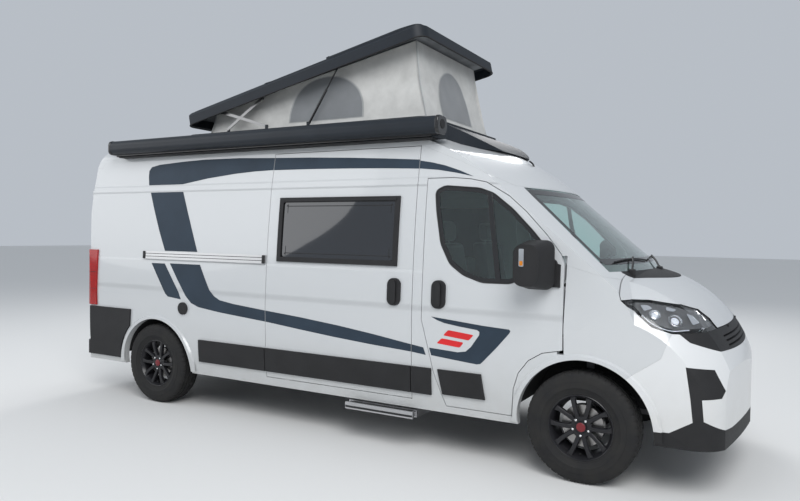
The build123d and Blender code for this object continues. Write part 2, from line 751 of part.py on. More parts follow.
save(floor_pan, "floor_pan")


# Wheels: tyre and rim turn on a spindle
def tyre(x, y):
    """Tyre section turned about the wheel's cross axis."""
    half = TYRE_WIDTH / 2
    rim_edge = FLANGE_RADIUS + 1
    with BuildPart() as ring:
        with BuildSketch(Plane.XY.offset(TYRE_RADIUS)):
            with BuildLine():
                Polyline((x + rim_edge, y - 86), (x + BEAD_RADIUS, y - 86), (x + BEAD_RADIUS, y - 60))
                Line((x + BEAD_RADIUS, y - 60), (x + BEAD_RADIUS + 10, y - 60))
                Line((x + BEAD_RADIUS + 10, y - 60), (x + BEAD_RADIUS + 10, y + 60))
                Line((x + BEAD_RADIUS + 10, y + 60), (x + BEAD_RADIUS, y + 60))
                Polyline((x + BEAD_RADIUS, y + 60), (x + BEAD_RADIUS, y + 86), (x + rim_edge, y + 86))
                ThreePointArc((x + rim_edge, y + 86), (x + 285, y + half), (x + 352, y + half - 14))
                ThreePointArc((x + 352, y + half - 14), (x + 367, y + half - 22), (x + 371, y + half - 40))
                ThreePointArc((x + 371, y + half - 40), (x + TYRE_RADIUS, y), (x + 371, y - half + 40))
                ThreePointArc((x + 371, y - half + 40), (x + 367, y - half + 22), (x + 352, y - half + 14))
                ThreePointArc((x + 352, y - half + 14), (x + 285, y - half), (x + rim_edge, y - 86))
            make_face()
        revolve(axis=Axis((x, 0, TYRE_RADIUS), (0, 1, 0)), revolution_arc=360)
    return ring.part


def rim(x, y):
    """Cast rim, right side: barrel, five pairs of spokes and a hub with its bore."""
    seat = BEAD_RADIUS - CLEAR
    with BuildPart() as wheel:
        with BuildSketch(Plane.XY.offset(TYRE_RADIUS)):
            with BuildLine():
                Polyline(
                    (x + seat, y - 86 - CLEAR), (x + FLANGE_RADIUS, y - 86 - CLEAR), (x + FLANGE_RADIUS, y - 94),
                    (x + seat - 12, y - 94), (x + seat - 24, y - 40), (x + seat - 24, y + 60),
                    (x + seat - 12, y + 94), (x + FLANGE_RADIUS, y + 94), (x + FLANGE_RADIUS, y + 86 + CLEAR),
                    (x + seat, y + 86 + CLEAR), close=True,
                )
            make_face()
        revolve(axis=Axis((x, 0, TYRE_RADIUS), (0, 1, 0)), revolution_arc=360)
        with BuildSketch(Plane.XZ.offset(-y + HUB_SEAT)):
            with Locations((x, TYRE_RADIUS)):
                Circle(HUB_RADIUS)
        extrude(amount=HUB_THICK)
        for pair in range(5):
            middle = 90 + pair * 72
            for lean in (-13, 13):
                turn = radians(middle + lean)
                near_hub = radians(middle + lean * 2)
                inner = (x + 55 * cos(near_hub), TYRE_RADIUS + 55 * sin(near_hub))
                outer = (x + 186 * cos(turn), TYRE_RADIUS + 186 * sin(turn))
                length = hypot(outer[0] - inner[0], outer[1] - inner[1])
                lean_angle = degrees(atan2(outer[1] - inner[1], outer[0] - inner[0]))
                with BuildSketch(Plane.XZ.offset(-y + HUB_SEAT + 4)):
                    with Locations(((inner[0] + outer[0]) / 2, (inner[1] + outer[1]) / 2)):
                        Rectangle(length, 27, rotation=lean_angle)
                extrude(amount=30)
        with BuildSketch(Plane.XZ.offset(-(y + 100))):
            with Locations((x, TYRE_RADIUS)):
                Circle(SPINDLE_RADIUS + CLEAR)
        extrude(amount=170, mode=Mode.SUBTRACT)
    return wheel.part


WHEELS = (
    # name, x, centre y
    ("front_right", FRONT_AXLE_X, -FRONT_TRACK / 2),
    ("front_left", FRONT_AXLE_X, FRONT_TRACK / 2),
    ("rear_right", REAR_AXLE_X, -REAR_TRACK / 2),
    ("rear_left", REAR_AXLE_X, REAR_TRACK / 2),
)
for corner, x, y in WHEELS:
    rubber = tyre(x, y)
    cast = rim(x, -abs(y))
    shape = cast if y < 0 else mirrored(cast)
    with BuildPart() as tyre_piece:
        add(rubber)
    save(tyre_piece, f"tyre_{corner}")
    with BuildPart() as rim_piece:
        add(shape)
    save(rim_piece, f"rim_{corner}")


# Front suspension: cross-member with its arms under the rails, knuckles with their struts
LOWER_JOINT_RADIUS = 24.0
ARM_END = KINGPIN_Y - LOWER_JOINT_RADIUS - CLEAR
HUB_SHANK = 62.0


def hub(x, track, near):
    """Hub with its brake disc and spindle, right side, up to the seat of the wheel."""
    face = track / 2 + HUB_SEAT - CLEAR
    return [
        cross_cylinder(x, TYRE_RADIUS, HUB_SHANK, near, face),
        cross_cylinder(x, TYRE_RADIUS, DISC_RADIUS, face - 72, face - 44),
        cross_cylinder(x, TYRE_RADIUS, SPINDLE_RADIUS, near, face + HUB_THICK - 10),
    ]


with BuildPart() as front_subframe:
    add(block((1960, 2142), (-470, 470), (300, 360)))
    add(block((1990, 2112), (-ARM_END, ARM_END), (262, 292)))
    add([block((2000, 2102), (-430, -380), (292, 300)), block((2000, 2102), (380, 430), (292, 300))])
    add([pin(x, y, (360, RAIL_Z[0] - CLEAR), 18) for x in (1980, 2122) for y in (-RAIL_Y, RAIL_Y)])
save(front_subframe, "front_subframe")
lower_joint = pin(FRONT_AXLE_X, -KINGPIN_Y, (262, 300), LOWER_JOINT_RADIUS)
strut = pin(FRONT_AXLE_X, -KINGPIN_Y, (300, 812), 26)
upright = block((2016, 2086), (-KINGPIN_Y - 22, -KINGPIN_Y + 24), (300, 470))
steering_arm = block((1900, 2030), (-KINGPIN_Y - 14, -KINGPIN_Y + 14), (330, 356))
with BuildPart() as knuckle_right:
    add([lower_joint, strut, upright, steering_arm] + hub(FRONT_AXLE_X, FRONT_TRACK, KINGPIN_Y))
knuckle_twin = mirrored(knuckle_right.part)
with BuildPart() as knuckle_left:
    add(knuckle_twin)
save(knuckle_right, "knuckle_right")
save(knuckle_left, "knuckle_left")

# Rear axle: beam on two leaf springs, hung under the floor
LEAF_HALF = 640.0
LEAF_Y = (-595.0, -525.0)
beam = cross_cylinder(REAR_AXLE_X, TYRE_RADIUS - 12, 42, 0, 770)
leaf = block((REAR_AXLE_X - LEAF_HALF, REAR_AXLE_X + LEAF_HALF), LEAF_Y, (296, 318))
saddle = block((REAR_AXLE_X - 60, REAR_AXLE_X + 60), (LEAF_Y[0] - 5, LEAF_Y[1] + 5), (288, 340))
hangers = [
    block((x - 25, x + 25), LEAF_Y, (290, FLOOR_Z - FLOOR_THICK))
    for x in (REAR_AXLE_X - LEAF_HALF, REAR_AXLE_X + LEAF_HALF)
]
with BuildPart() as half_axle:
    add([beam, leaf, saddle] + hangers + hub(REAR_AXLE_X, REAR_TRACK, 720))
axle_twin = mirrored(half_axle.part)
with BuildPart() as rear_axle:
    add([half_axle.part, axle_twin])
save(rear_axle, "rear_axle")

# Engine and gearbox: one block on the cross-member
with BuildPart() as engine:
    add(block((2150, 2780), (-370, 370), (366, 1000)))
    add(block((2330, 2430), (-RAIL_Y + RAIL_WIDTH / 2 + CLEAR, RAIL_Y - RAIL_WIDTH / 2 - CLEAR), (440, 490)))
    add(block((1960, 2150), (-300, 300), (360 + CLEAR, 560)))
save(engine, "engine")

# Fuel and water tanks and the silencer under the floor
with BuildPart() as underbody:
    add(block((-1100, -300), (-420, 420), (330, FLOOR_Z - FLOOR_THICK)))
    add(block((150, 1050), (100, 640), (340, FLOOR_Z - FLOOR_THICK)))
    add(block((100, 1250), (-420, -180), (350, FLOOR_Z - FLOOR_THICK)))
save(underbody, "underbody")

# Lid gear on each side: two crossed arms and a gas strut, from feet on the frame to eyes under the lid
LID_PIVOT = Axis((LID_PIVOT_X, 0, LID_PIVOT_Z), (0, 1, 0))
LID_GEAR = (
    # node, near face y, thickness, foot (x, z), eye (x, z) with the lid open
    ("lid_arms_long", ARM_NEAR, 8.0, (-1382, 2585), (-975, 2836)),
    ("lid_arms_short", 696.0, 8.0, (-899, 2580), (-1435, 2741)),
    ("strut", 661.0, 22.0, (-449, 2581), (-123, 3074)),
)


def gear_plates(near, thick, foot, eye):
    """Foot plate on the frame and eye plate under the lid, each beside its bar."""
    y = near - CLEAR - EYE_PLATE if near == ARM_NEAR else near + thick + CLEAR
    foot_plate = block((foot[0] - 16, foot[0] + 16), (-y - EYE_PLATE, -y), (PLINTH_TOP - 4, foot[1] + 12))
    turn = radians(LID_OPEN)
    run, rise = eye[0] - LID_PIVOT_X, eye[1] - LID_PIVOT_Z
    shut_x = LID_PIVOT_X + run * cos(turn) + rise * sin(turn)
    shut_z = LID_PIVOT_Z - run * sin(turn) + rise * cos(turn)
    eye_plate = block((shut_x - 16, shut_x + 16), (-y - EYE_PLATE, -y), (shut_z - 13, 2684))
    return foot_plate, eye_plate.rotate(LID_PIVOT, -LID_OPEN)


plates = [gear_plates(*row[1:]) for row in LID_GEAR]
LID_FEET = [pair[0] for pair in plates]
LID_EYES = [pair[1] for pair in plates]

# Roof frame round the hole, with the fairing in front, both seated on the roof
with BuildPart() as roof_frame:
    with BuildSketch(Plane.XY.offset(2300)):
        with Locations(((FRAME_REAR + FRAME_FRONT) / 2, 0)):
            RectangleRounded(FRAME_FRONT - FRAME_REAR, 2 * FRAME_HALF, 90)
        with Locations(((ROOF_HOLE_REAR + ROOF_HOLE_FRONT) / 2, 0)):
            RectangleRounded(ROOF_HOLE_FRONT - ROOF_HOLE_REAR, 2 * ROOF_HOLE_HALF, 80, mode=Mode.SUBTRACT)
    extrude(amount=PLINTH_TOP - 2300)
    with BuildSketch(Plane.XZ):
        with BuildLine():
            Line((FRAME_FRONT - 60, 2200), (FRAME_FRONT - 60, PLINTH_TOP))
            ThreePointArc((FRAME_FRONT - 60, PLINTH_TOP), (1010, 2424), (FAIRING_TIP, 2264))
            Polyline((FAIRING_TIP, 2264), (FAIRING_TIP, 2200), (FRAME_FRONT - 60, 2200))
        make_face()
    extrude(amount=FRAME_HALF, both=True)
    add(OUTER, mode=Mode.SUBTRACT)
    with BuildSketch(Plane.XY.offset(2300)):
        with BuildLine():
            Polyline((1000, -660), (FRAME_FRONT - 100, -FRAME_HALF - 5), (BEHIND, -FRAME_HALF - 5))
            Polyline((BEHIND, -FRAME_HALF - 5), (BEHIND, FRAME_HALF + 5), (FRAME_FRONT - 100, FRAME_HALF + 5))
            Polyline((FRAME_FRONT - 100, FRAME_HALF + 5), (1000, 660))
            ThreePointArc((1000, 660), (FAIRING_TIP, 0), (1000, -660))
        make_face()
    extrude(amount=400, mode=Mode.INTERSECT)
    add([side for shape in LID_FEET for side in (shape, mirrored(shape))])
save(roof_frame, "roof_frame")

# Pop-up lid: modelled shut, then turned open about its pivot line
LID_OVER = 20.0
LID_TOP_Z = LID_EDGE_Z + LID_HEIGHT


def lid_block(skin):
    """The lid's solid form, shut, with its top and walls moved inwards by skin."""
    foot = LID_EDGE_Z if skin == 0 else 2450
    half = LID_HALF - skin
    with BuildPart() as form:
        with BuildSketch(Plane.XZ):
            with BuildLine():
                Line((LID_BACK - LID_OVER, foot), (LID_FRONT + LID_OVER, foot))
                Line((LID_FRONT + LID_OVER, foot), (LID_FRONT + LID_OVER, LID_TOP_Z - 20 - skin))
                ThreePointArc(
                    (LID_FRONT + LID_OVER, LID_TOP_Z - 20 - skin),
                    (LID_MIDDLE, LID_TOP_Z + LID_BULGE + 14 - skin),
                    (LID_BACK + 64 + skin, LID_TOP_Z + 6 - skin),
                )
                Line((LID_BACK + 64 + skin, LID_TOP_Z + 6 - skin), (LID_BACK - LID_OVER, foot))
            make_face()
        extrude(amount=LID_HALF + 50, both=True)
        with BuildSketch(Plane.YZ.offset(-3000)):
            with BuildLine():
                Polyline((-half, 2400), (-half, 2650 - skin / 3), (-half + 40, 2690 - skin))
                ThreePointArc((-half + 40, 2690 - skin), (0, 2745 - skin), (half - 40, 2690 - skin))
                Polyline((half - 40, 2690 - skin), (half, 2650 - skin / 3), (half, 2400), (-half, 2400))
            make_face()
        extrude(amount=5000, mode=Mode.INTERSECT)
        with BuildSketch(Plane.XY.offset(2400)):
            with Locations((LID_MIDDLE, 0)):
                RectangleRounded(LID_FRONT - LID_BACK - 2 * skin, 2 * half, 110 - skin)
        extrude(amount=500, mode=Mode.INTERSECT)
    return form.part


lid_outside = lid_block(0)
lid_inside = lid_block(LID_SKIN)
with BuildPart() as lid_shut:
    add(lid_outside)
    add(lid_inside, mode=Mode.SUBTRACT)
open_lid = lid_shut.part.rotate(LID_PIVOT, -LID_OPEN)
with BuildPart() as pop_top_lid:
    add(open_lid)
    add([side for shape in LID_EYES for side in (shape, mirrored(shape))])
save(pop_top_lid, "pop_top_lid")

# Fabric walls of the pop-up roof
TENT_SIDE = ((-1680, PLINTH_TOP + CLEAR), (675, PLINTH_TOP + CLEAR), (545, 3200), (-1612, 2762))
TENT_ROOM = (
    (-1680 + TENT_SKIN, 2500), (675 - TENT_SKIN, 2500), (675 - TENT_SKIN, PLINTH_TOP), (545 - TENT_SKIN, 3300),
    (-1612 + TENT_SKIN, 2900),
)
with BuildPart() as tent:
    with BuildSketch(Plane.XZ):
        with BuildLine():
            Polyline(*TENT_SIDE, close=True)
        make_face()
    extrude(amount=TENT_HALF + 12, both=True)
    with BuildSketch(Plane.YZ.offset(-2000)):
        with BuildLine():
            Polyline((-TENT_HALF - 12, 2500), (-TENT_TOP_HALF, 3214), (TENT_TOP_HALF, 3214))
            Polyline((TENT_TOP_HALF, 3214), (TENT_HALF + 12, 2500), (-TENT_HALF - 12, 2500))
        make_face()
    extrude(amount=3000, mode=Mode.INTERSECT)
with BuildPart() as tent_room:
    with BuildSketch(Plane.XZ):
        with BuildLine():
            Polyline(*TENT_ROOM, close=True)
        make_face()
    extrude(amount=TENT_HALF, both=True)
    with BuildSketch(Plane.YZ.offset(-2000)):
        with BuildLine():
            Polyline(
                (-TENT_HALF, 2500), (-TENT_TOP_HALF + TENT_SKIN, 3214), (-TENT_TOP_HALF + TENT_SKIN, 3400),
                (TENT_TOP_HALF - TENT_SKIN, 3400), (TENT_TOP_HALF - TENT_SKIN, 3214), (TENT_HALF, 2500), close=True,
            )
        make_face()
    extrude(amount=3000, mode=Mode.INTERSECT)
with BuildPart() as pop_top_tent:
    add(tent.part)
    add(tent_room.part, mode=Mode.SUBTRACT)
save(pop_top_tent, "pop_top_tent")

for node, near, thick, foot, eye in LID_GEAR:
    if node == "strut":
        axis_y = near + thick / 2
        reach = hypot(eye[0] - foot[0], eye[1] - foot[1])
        tube = rod(foot, eye, axis_y, STRUT_TUBE, 0, reach - STRUT_LENGTH)
        bore = rod(foot, eye, axis_y, STRUT_ROD + CLEAR, 30, 0)
        piston = rod(foot, eye, axis_y, STRUT_ROD, STRUT_LENGTH - 40, 0)
        with BuildPart() as tube_piece:
            add(tube)
            add(bore, mode=Mode.SUBTRACT)
        shapes = [("lid_strut_tubes", tube_piece.part), ("lid_strut_rods", piston)]
    else:
        shapes = [(node, bar(foot, eye, near, 26, thick))]
    for label, shape in shapes:
        twin = mirrored(shape)
        with BuildPart() as gear:
            add([shape, twin])
        save(gear, label)

# Awning case on its rail, along the right edge of the roof
with BuildPart() as awning:
    with BuildSketch(Plane.YZ.offset(AWNING_REAR)):
        with Locations((-AWNING_Y, AWNING_Z)):
            RectangleRounded(AWNING_DEPTH, AWNING_HEIGHT, 52)
    extrude(amount=AWNING_LENGTH)
    with BuildSketch(Plane.YZ.offset(AWNING_REAR + 20)):
        with BuildLine():
            Polyline((-AWNING_Y, 2344), (-AWNING_Y, 2400), (-840, 2450), (-840, 2344), close=True)
        make_face()
    extrude(amount=AWNING_LENGTH - 40)
    add(OUTER, mode=Mode.SUBTRACT)
save(awning, "awning")

# Side cladding, filler cap, sliding door rail and window frames: thin pieces seated on the skin
CLADDING = (
    # x low, x high, z low, z high
    (-1395, -624, 452, 650),
    (-616, 786, 452, 650),
    (794, 958, 452, 650),
)
DOOR_CLADDING = ((1052, 470), (1012, 650), (1352, 650), (1382, 470))
strips = [
    side_prism(((rear, foot), (rear, top), (front, top), (front, foot)), near=700)
    for rear, front, foot, top in CLADDING
]
door_strip = side_prism(DOOR_CLADDING, near=700)
filler_cap = cross_cylinder(-1593, 920, 56, 700)


def handle(x, z):
    """Door handle, right side: a rounded cup on the skin and an upright grip."""
    with BuildPart() as piece:
        with BuildSketch(Plane.XZ.offset(900)):
            with Locations((x, z)):
                RectangleRounded(112, 206, 50)
        extrude(amount=200)
        add(TRIM_SKIN, mode=Mode.INTERSECT)
        with BuildSketch(Plane.XZ.offset(1028)):
            with Locations((x, z)):
                RectangleRounded(44, 172, 20)
        extrude(amount=20)
    return piece.part


slide_handle = handle(636, 1194)
with BuildPart() as side_cladding:
    add(TRIM_SKIN)
    add(strips + [mirrored(strip) for strip in strips] + [filler_cap], mode=Mode.INTERSECT)
    add(slide_handle)
save(side_cladding, "side_cladding")
rail_cut = side_prism(((-2133, 1362), (-2133, 1434), (-626, 1434), (-626, 1362)), near=700)
with BuildPart() as side_rail:
    add(TRIM_SKIN)
    add(rail_cut, mode=Mode.INTERSECT)
save(side_rail, "side_rail")
frame_cut = side_prism(SIDE_WINDOW, -14, near=500)
frame_hole = side_prism(SIDE_WINDOW, 26, near=500)
with BuildPart() as window_frame:
    add(TRIM_SKIN)
    add(frame_cut, mode=Mode.INTERSECT)
    add(frame_hole, mode=Mode.SUBTRACT)
frame_twin = mirrored(window_frame.part)
with BuildPart() as window_frames:
    add([window_frame.part, frame_twin])
save(window_frames, "window_frames")

# Door fittings: cladding, handle and mirror of each front door
door_handle = handle(1011, 1194)
mirror_foot = side_prism(((1700, 1290), (1760, 1460), (1800, 1475), (1905, 1440), (1905, 1290)), 0, near=700)
with BuildPart() as mirror_head:
    with BuildSketch(Plane.XZ.offset(1060)):
        with Locations((1765, 1437)):
            RectangleRounded(225, 330, 60)
    with BuildSketch(Plane.XZ.offset(1254)):
        with Locations((1745, 1437)):
            RectangleRounded(170, 270, 60)
    loft()
    with BuildSketch(Plane.XZ.offset(960)):
        with Locations((1810, 1370)):
            RectangleRounded(110, 80, 20)
    extrude(amount=120)
    add(OUTER, mode=Mode.SUBTRACT)
with BuildPart() as door_trim:
    add(TRIM_SKIN)
    add([door_strip, mirror_foot], mode=Mode.INTERSECT)
    add([mirror_head.part, door_handle])
for side, shape in (("right", door_trim.part), ("left", mirrored(door_trim.part))):
    with BuildPart() as fittings:
        add(shape)
    save(fittings, f"door_fittings_{side}")

# Tail lamps and rear bumper, proud of the skin
lamp_zone = block((BEHIND, LAMP_BAND), (-1100, -906), (880, 1430))
hinge_notches = [
    block((BEHIND, HINGE_BAND), (-960, -900), (foot - 3, foot + HINGE_LENGTH + 3)) for foot in REAR_HINGE_Z
]
with BuildPart() as tail_lamps:
    add(TRIM_SKIN)
    add([lamp_zone, mirrored(lamp_zone)], mode=Mode.INTERSECT)
    add(hinge_notches + [mirrored(notch) for notch in hinge_notches], mode=Mode.SUBTRACT)
save(tail_lamps, "tail_lamps")
REAR_BUMPER = (
    (BEHIND, 380), (BEHIND, 515), (VALANCE_BAND, 515), (VALANCE_BAND, 866), (-2300, 866), (-2345, 380)
)
bumper_side = side_prism(REAR_BUMPER)
bumper_arch = cross_cylinder(REAR_ARCH_X, REAR_ARCH_Z, REAR_ARCH_RADIUS + FLARE_WIDTH + CLEAR, 0)
with BuildPart() as rear_bumper:
    add(TRIM_SKIN)
    add([bumper_side, mirrored(bumper_side)], mode=Mode.INTERSECT)
    add([bumper_arch, mirrored(bumper_arch)], mode=Mode.SUBTRACT)
save(rear_bumper, "rear_bumper")

# Entry step: a case hung from the floor and a tread that slides out of it
with BuildPart() as step_case:
    add(block((STEP_REAR, STEP_FRONT), (-1000, -640), (STEP_Z, STEP_Z + 56)))
    add(block((STEP_REAR + 8, STEP_FRONT - 8), (-1010, -660), (STEP_Z + 8, STEP_Z + 48)), mode=Mode.SUBTRACT)
    for x in (STEP_REAR + 30, STEP_FRONT - 42):
        add(block((x, x + 12), (-930, -720), (STEP_Z + 56, FLOOR_Z - FLOOR_THICK)))
with BuildPart() as step_tread:
    add(block((STEP_REAR + 8 + CLEAR, STEP_FRONT - 8 - CLEAR), (-1044, -690), (STEP_Z + 12, STEP_Z + 44)))
    add(block((STEP_REAR + 2, STEP_FRONT - 2), (-1060, -1044), (STEP_Z, STEP_Z + 52)))
save(step_case, "step_case")
save(step_tread, "step_tread")

SEAT_SIDE = ((820, 860), (1330, 900), (1340, 1010), (930, 1010), (830, 1560), (730, 1560), (760, 860))

# Cab: two seats on the floor, dashboard with the steering column and wheel
with BuildPart() as seats:
    for y in (-430, 430):
        with BuildSketch(Plane.XZ.offset(-y - 240)):
            with BuildLine():
                Polyline(*SEAT_SIDE, close=True)
            make_face()
        extrude(amount=480)
        with BuildSketch(Plane.XZ.offset(-y - 130)):
            with BuildLine():
                Polyline((730, 1575), (830, 1575), (820, 1740), (740, 1740), close=True)
            make_face()
        extrude(amount=260)
        add(block((770, 810), (y - 60, y + 60), (1555, 1600)))
        add(block((850, 1250), (y - 200, y + 200), (CAB_FLOOR_Z, 880)))
save(seats, "seats")
DASH = ((1700, 950), (1650, 1180), (1760, 1300), (2140, 1330), (2152, 1250), (2110, 960), (1900, 900))
dash_half = side_prism(DASH, far=940)
with BuildPart() as steering_column:
    with BuildSketch(Plane(origin=(1480, 430, 1290), x_dir=(0, 1, 0), z_dir=(0.83, 0, -0.56))):
        Circle(190)
        Circle(168, mode=Mode.SUBTRACT)
        with PolarLocations(95, 3, start_angle=90):
            Rectangle(190, 34)
        Circle(55)
    extrude(amount=26)
    with BuildSketch(Plane(origin=(1480, 430, 1290), x_dir=(0, 1, 0), z_dir=(0.83, 0, -0.56))):
        Circle(36)
    extrude(amount=330)
with BuildPart() as dashboard:
    add([dash_half, mirrored(dash_half)])
    add(INNER, mode=Mode.INTERSECT)
    add(floor_pan.part, mode=Mode.SUBTRACT)
    add(steering_column.part)
save(dashboard, "dashboard")
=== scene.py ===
"""Camper van with its pop-up roof raised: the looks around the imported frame. Metres, +X front, +Z up."""
from math import cos, exp, pi, radians, sin

import bmesh
import bpy
from mathutils import Matrix, Vector
from mathutils.bvhtree import BVHTree


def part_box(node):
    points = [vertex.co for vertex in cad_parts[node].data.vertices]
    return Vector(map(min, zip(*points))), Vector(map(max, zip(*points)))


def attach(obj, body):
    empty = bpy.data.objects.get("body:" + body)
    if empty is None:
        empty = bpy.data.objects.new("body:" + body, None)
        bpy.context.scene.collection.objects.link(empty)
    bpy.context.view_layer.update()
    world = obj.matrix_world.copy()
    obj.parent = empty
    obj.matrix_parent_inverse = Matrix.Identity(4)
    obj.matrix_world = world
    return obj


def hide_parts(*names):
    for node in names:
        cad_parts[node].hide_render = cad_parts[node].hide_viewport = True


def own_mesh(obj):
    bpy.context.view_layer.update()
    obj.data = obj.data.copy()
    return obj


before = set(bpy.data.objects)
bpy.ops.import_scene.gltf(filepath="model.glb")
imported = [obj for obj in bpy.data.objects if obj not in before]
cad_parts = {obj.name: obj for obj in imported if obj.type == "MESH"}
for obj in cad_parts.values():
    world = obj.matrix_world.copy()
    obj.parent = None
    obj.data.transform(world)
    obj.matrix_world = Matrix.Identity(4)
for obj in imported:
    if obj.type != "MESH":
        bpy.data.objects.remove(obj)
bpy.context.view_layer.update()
RIGHT, LEFT = -1, 1
SIDES = ((RIGHT, "right"), (LEFT, "left"))
ALONG, ACROSS, UPWARDS = Vector((1, 0, 0)), Vector((0, 1, 0)), Vector((0, 0, 1))

# Places taken from the frame
TYRE_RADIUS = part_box("tyre_front_right")[1].z / 2
TYRE_HALF = (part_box("tyre_front_right")[1].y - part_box("tyre_front_right")[0].y) / 2


# Materials

def shader(name, colour, rough=0.5, metal=0.0, **sockets):
    """Principled material; extra sockets by their names with underscores."""
    material = bpy.data.materials.new(name)
    material.use_nodes = True
    surface = material.node_tree.nodes["Principled BSDF"]
    surface.inputs["Base Color"].default_value = (*colour[:3], 1)
    surface.inputs["Roughness"].default_value = rough
    surface.inputs["Metallic"].default_value = metal
    for socket, value in sockets.items():
        surface.inputs[socket.replace("_", " ")].default_value = value
    return material


def node(material, kind, inputs=None, **settings):
    """Add a shader node; inputs maps a socket to a value or to another node's output."""
    tree = material.node_tree
    made = tree.nodes.new("ShaderNode" + kind)
    for key, value in settings.items():
        setattr(made, key, value)
    for key, value in (inputs or {}).items():
        if isinstance(value, bpy.types.NodeSocket):
            tree.links.new(value, made.inputs[key])
        else:
            made.inputs[key].default_value = value
    return made


def feed(material, socket, output):
    """Lead a node's output into a socket of the surface."""
    tree = material.node_tree
    tree.links.new(output, tree.nodes["Principled BSDF"].inputs[socket])


def place_of(material):
    """Object coordinates, which are the row frame's metres on every piece at rest."""
    return node(material, "TexCoord").outputs["Object"]


def noise(material, scale, detail=4.0, rough=0.55, stretch=(1, 1, 1)):
    mapping = node(material, "Mapping", {"Vector": place_of(material), "Scale": stretch})
    return node(
        material, "TexNoise",
        {"Vector": mapping.outputs["Vector"], "Scale": scale, "Detail": detail, "Roughness": rough},
    ).outputs["Fac"]


def blend(material, factor, dark, light):
    """Base colour between two tones along a factor."""
    mix = node(material, "Mix", {"Factor": factor}, data_type="RGBA")
    mix.inputs["A"].default_value = (*dark, 1)
    mix.inputs["B"].default_value = (*light, 1)
    feed(material, "Base Color", mix.outputs["Result"])


def vary(material, amount_from, dark, light, low=0.35, high=0.65):
    """Base colour between two tones where a factor goes from low to high."""
    ramp = node(material, "MapRange", {"Value": amount_from, "From Min": low, "From Max": high})
    blend(material, ramp.outputs["Result"], dark, light)


def roughen(material, factor, low, high):
    ramp = node(material, "MapRange", {"Value": factor, "To Min": low, "To Max": high})
    feed(material, "Roughness", ramp.outputs["Result"])


def bump(material, height, strength=0.3, distance=0.001):
    made = node(material, "Bump", {"Height": height, "Strength": strength, "Distance": distance})
    feed(material, "Normal", made.outputs["Normal"])


def toned(colour, factor):
    """A colour made darker or lighter by a factor."""
    return tuple(min(1.0, c * factor) for c in colour)


def mottle(material, colour, scale, detail, dark, light, *limits, rough=0.55):
    """Uneven tone: soft noise between a darker and a lighter shade of the colour."""
    vary(material, noise(material, scale, detail, rough), toned(colour, dark), toned(colour, light), *limits)


def paint(name, colour, rough=0.3, creases=()):
    """Lacquered paint with fine flake, and a patchy, darker and browner tone towards the sill."""
    material = shader(name, colour, rough, Coat_Weight=0.7, Coat_Roughness=0.04)
    height = node(material, "SeparateXYZ", {"Vector": place_of(material)}).outputs["Z"]
    # base colour turns darker and browner from 0.85 m down to 0.3 m, patchy by noise
    low_darkening = node(
        material, "MapRange",
        {"Value": height, "From Min": 0.85, "From Max": 0.3, "To Min": 0.0, "To Max": 0.55},
    )
    patchy = node(
        material, "Math", {0: low_darkening.outputs["Result"], 1: noise(material, 7.0, 8.0)},
        operation="MULTIPLY",
    )
    blend(material, patchy.outputs[0], colour, (colour[0] * 0.62, colour[1] * 0.58, colour[2] * 0.5))
    roughen(material, noise(material, 2200.0, 2.0), rough - 0.05, rough + 0.08)
    total = None
    for level, width, rise in creases:
        step = node(
            material, "MapRange",
            {"Value": height, "From Min": level - width / 2, "From Max": level + width / 2, "To Max": rise},
            interpolation_type="SMOOTHSTEP",
        ).outputs["Result"]
        total = node(
            material, "Math", {0: total, 1: step}, operation="ADD").outputs[0] if total else step
    if total:
        bump(material, total, 1.0, 1.0)
    return material


def foil(name, colour):
    """Printed adhesive foil: matt, with the faint orange peel of the paint under it."""
    material = shader(name, colour, 0.55, Specular_IOR_Level=0.3)
    mottle(material, colour, 4.0, 6.0, 0.92, 1.1)
    bump(material, noise(material, 260.0, 2.0), 0.12, 0.0003)
    return material


def grained(name, colour, rough=0.62, grain=900.0, depth=0.0006):
    """Moulded plastic with a leather-like grain and slightly uneven tone."""
    material = shader(name, colour, rough, Specular_IOR_Level=0.4)
    mottle(material, colour, 5.0, 6.0, 0.85, 1.25)
    cells = node(material, "TexVoronoi", {"Vector": place_of(material), "Scale": grain})
    bump(material, cells.outputs["Distance"], 0.35, depth)
    return material


def satin(name, colour, rough=0.38):
    """Powder-coated or anodised metal."""
    material = shader(name, colour, rough, Specular_IOR_Level=0.35)
    mottle(material, colour, 3.0, 5.0, 0.9, 1.12)
    bump(material, noise(material, 1500.0, 2.0), 0.15, 0.0002)
    return material


def brushed(name, colour, stretch):
    """Metal brushed along one direction."""
    material = shader(name, colour, 0.34, 1.0)
    lines = noise(material, 60.0, 3.0, stretch=stretch)
    roughen(material, lines, 0.24, 0.46)
    bump(material, lines, 0.08, 0.0003)
    return material


def woven(name, colour, scale=420.0, depth=0.0006, tone=0.12, rough=0.85):
    """Cloth: two crossed thread waves with soft variation in tone."""
    material = shader(name, colour, rough, Sheen_Weight=0.25, Sheen_Roughness=0.5)
    waves = []
    for direction in ("X", "Z"):
        wave = node(
            material, "TexWave",
            {"Vector": place_of(material), "Scale": scale, "Distortion": 0.6, "Detail": 1.0},
            bands_direction=direction,
        )
        waves.append(wave.outputs["Fac"])
    weave = node(material, "Math", {0: waves[0], 1: waves[1]}, operation="MAXIMUM")
    mottle(material, colour, 6.0, 8.0, 1 - tone, 1 + tone, 0.3, 0.7, rough=0.6)
    bump(material, weave.outputs[0], 0.4, depth)
    return material


def smeared(name, colour, rough, metal, scale, low, high, **sockets):
    """Smooth surface with faint smears in its gloss."""
    material = shader(name, colour, rough, metal, **sockets)
    roughen(material, noise(material, scale), low, high)
    return material


def glass(name, colour, rough=0.0, transmission=1.0, ior=1.45):
    material = shader(name, colour, rough, Transmission_Weight=transmission, IOR=ior)
    roughen(material, noise(material, 3.0, 3.0), rough, rough + 0.012)
    return material


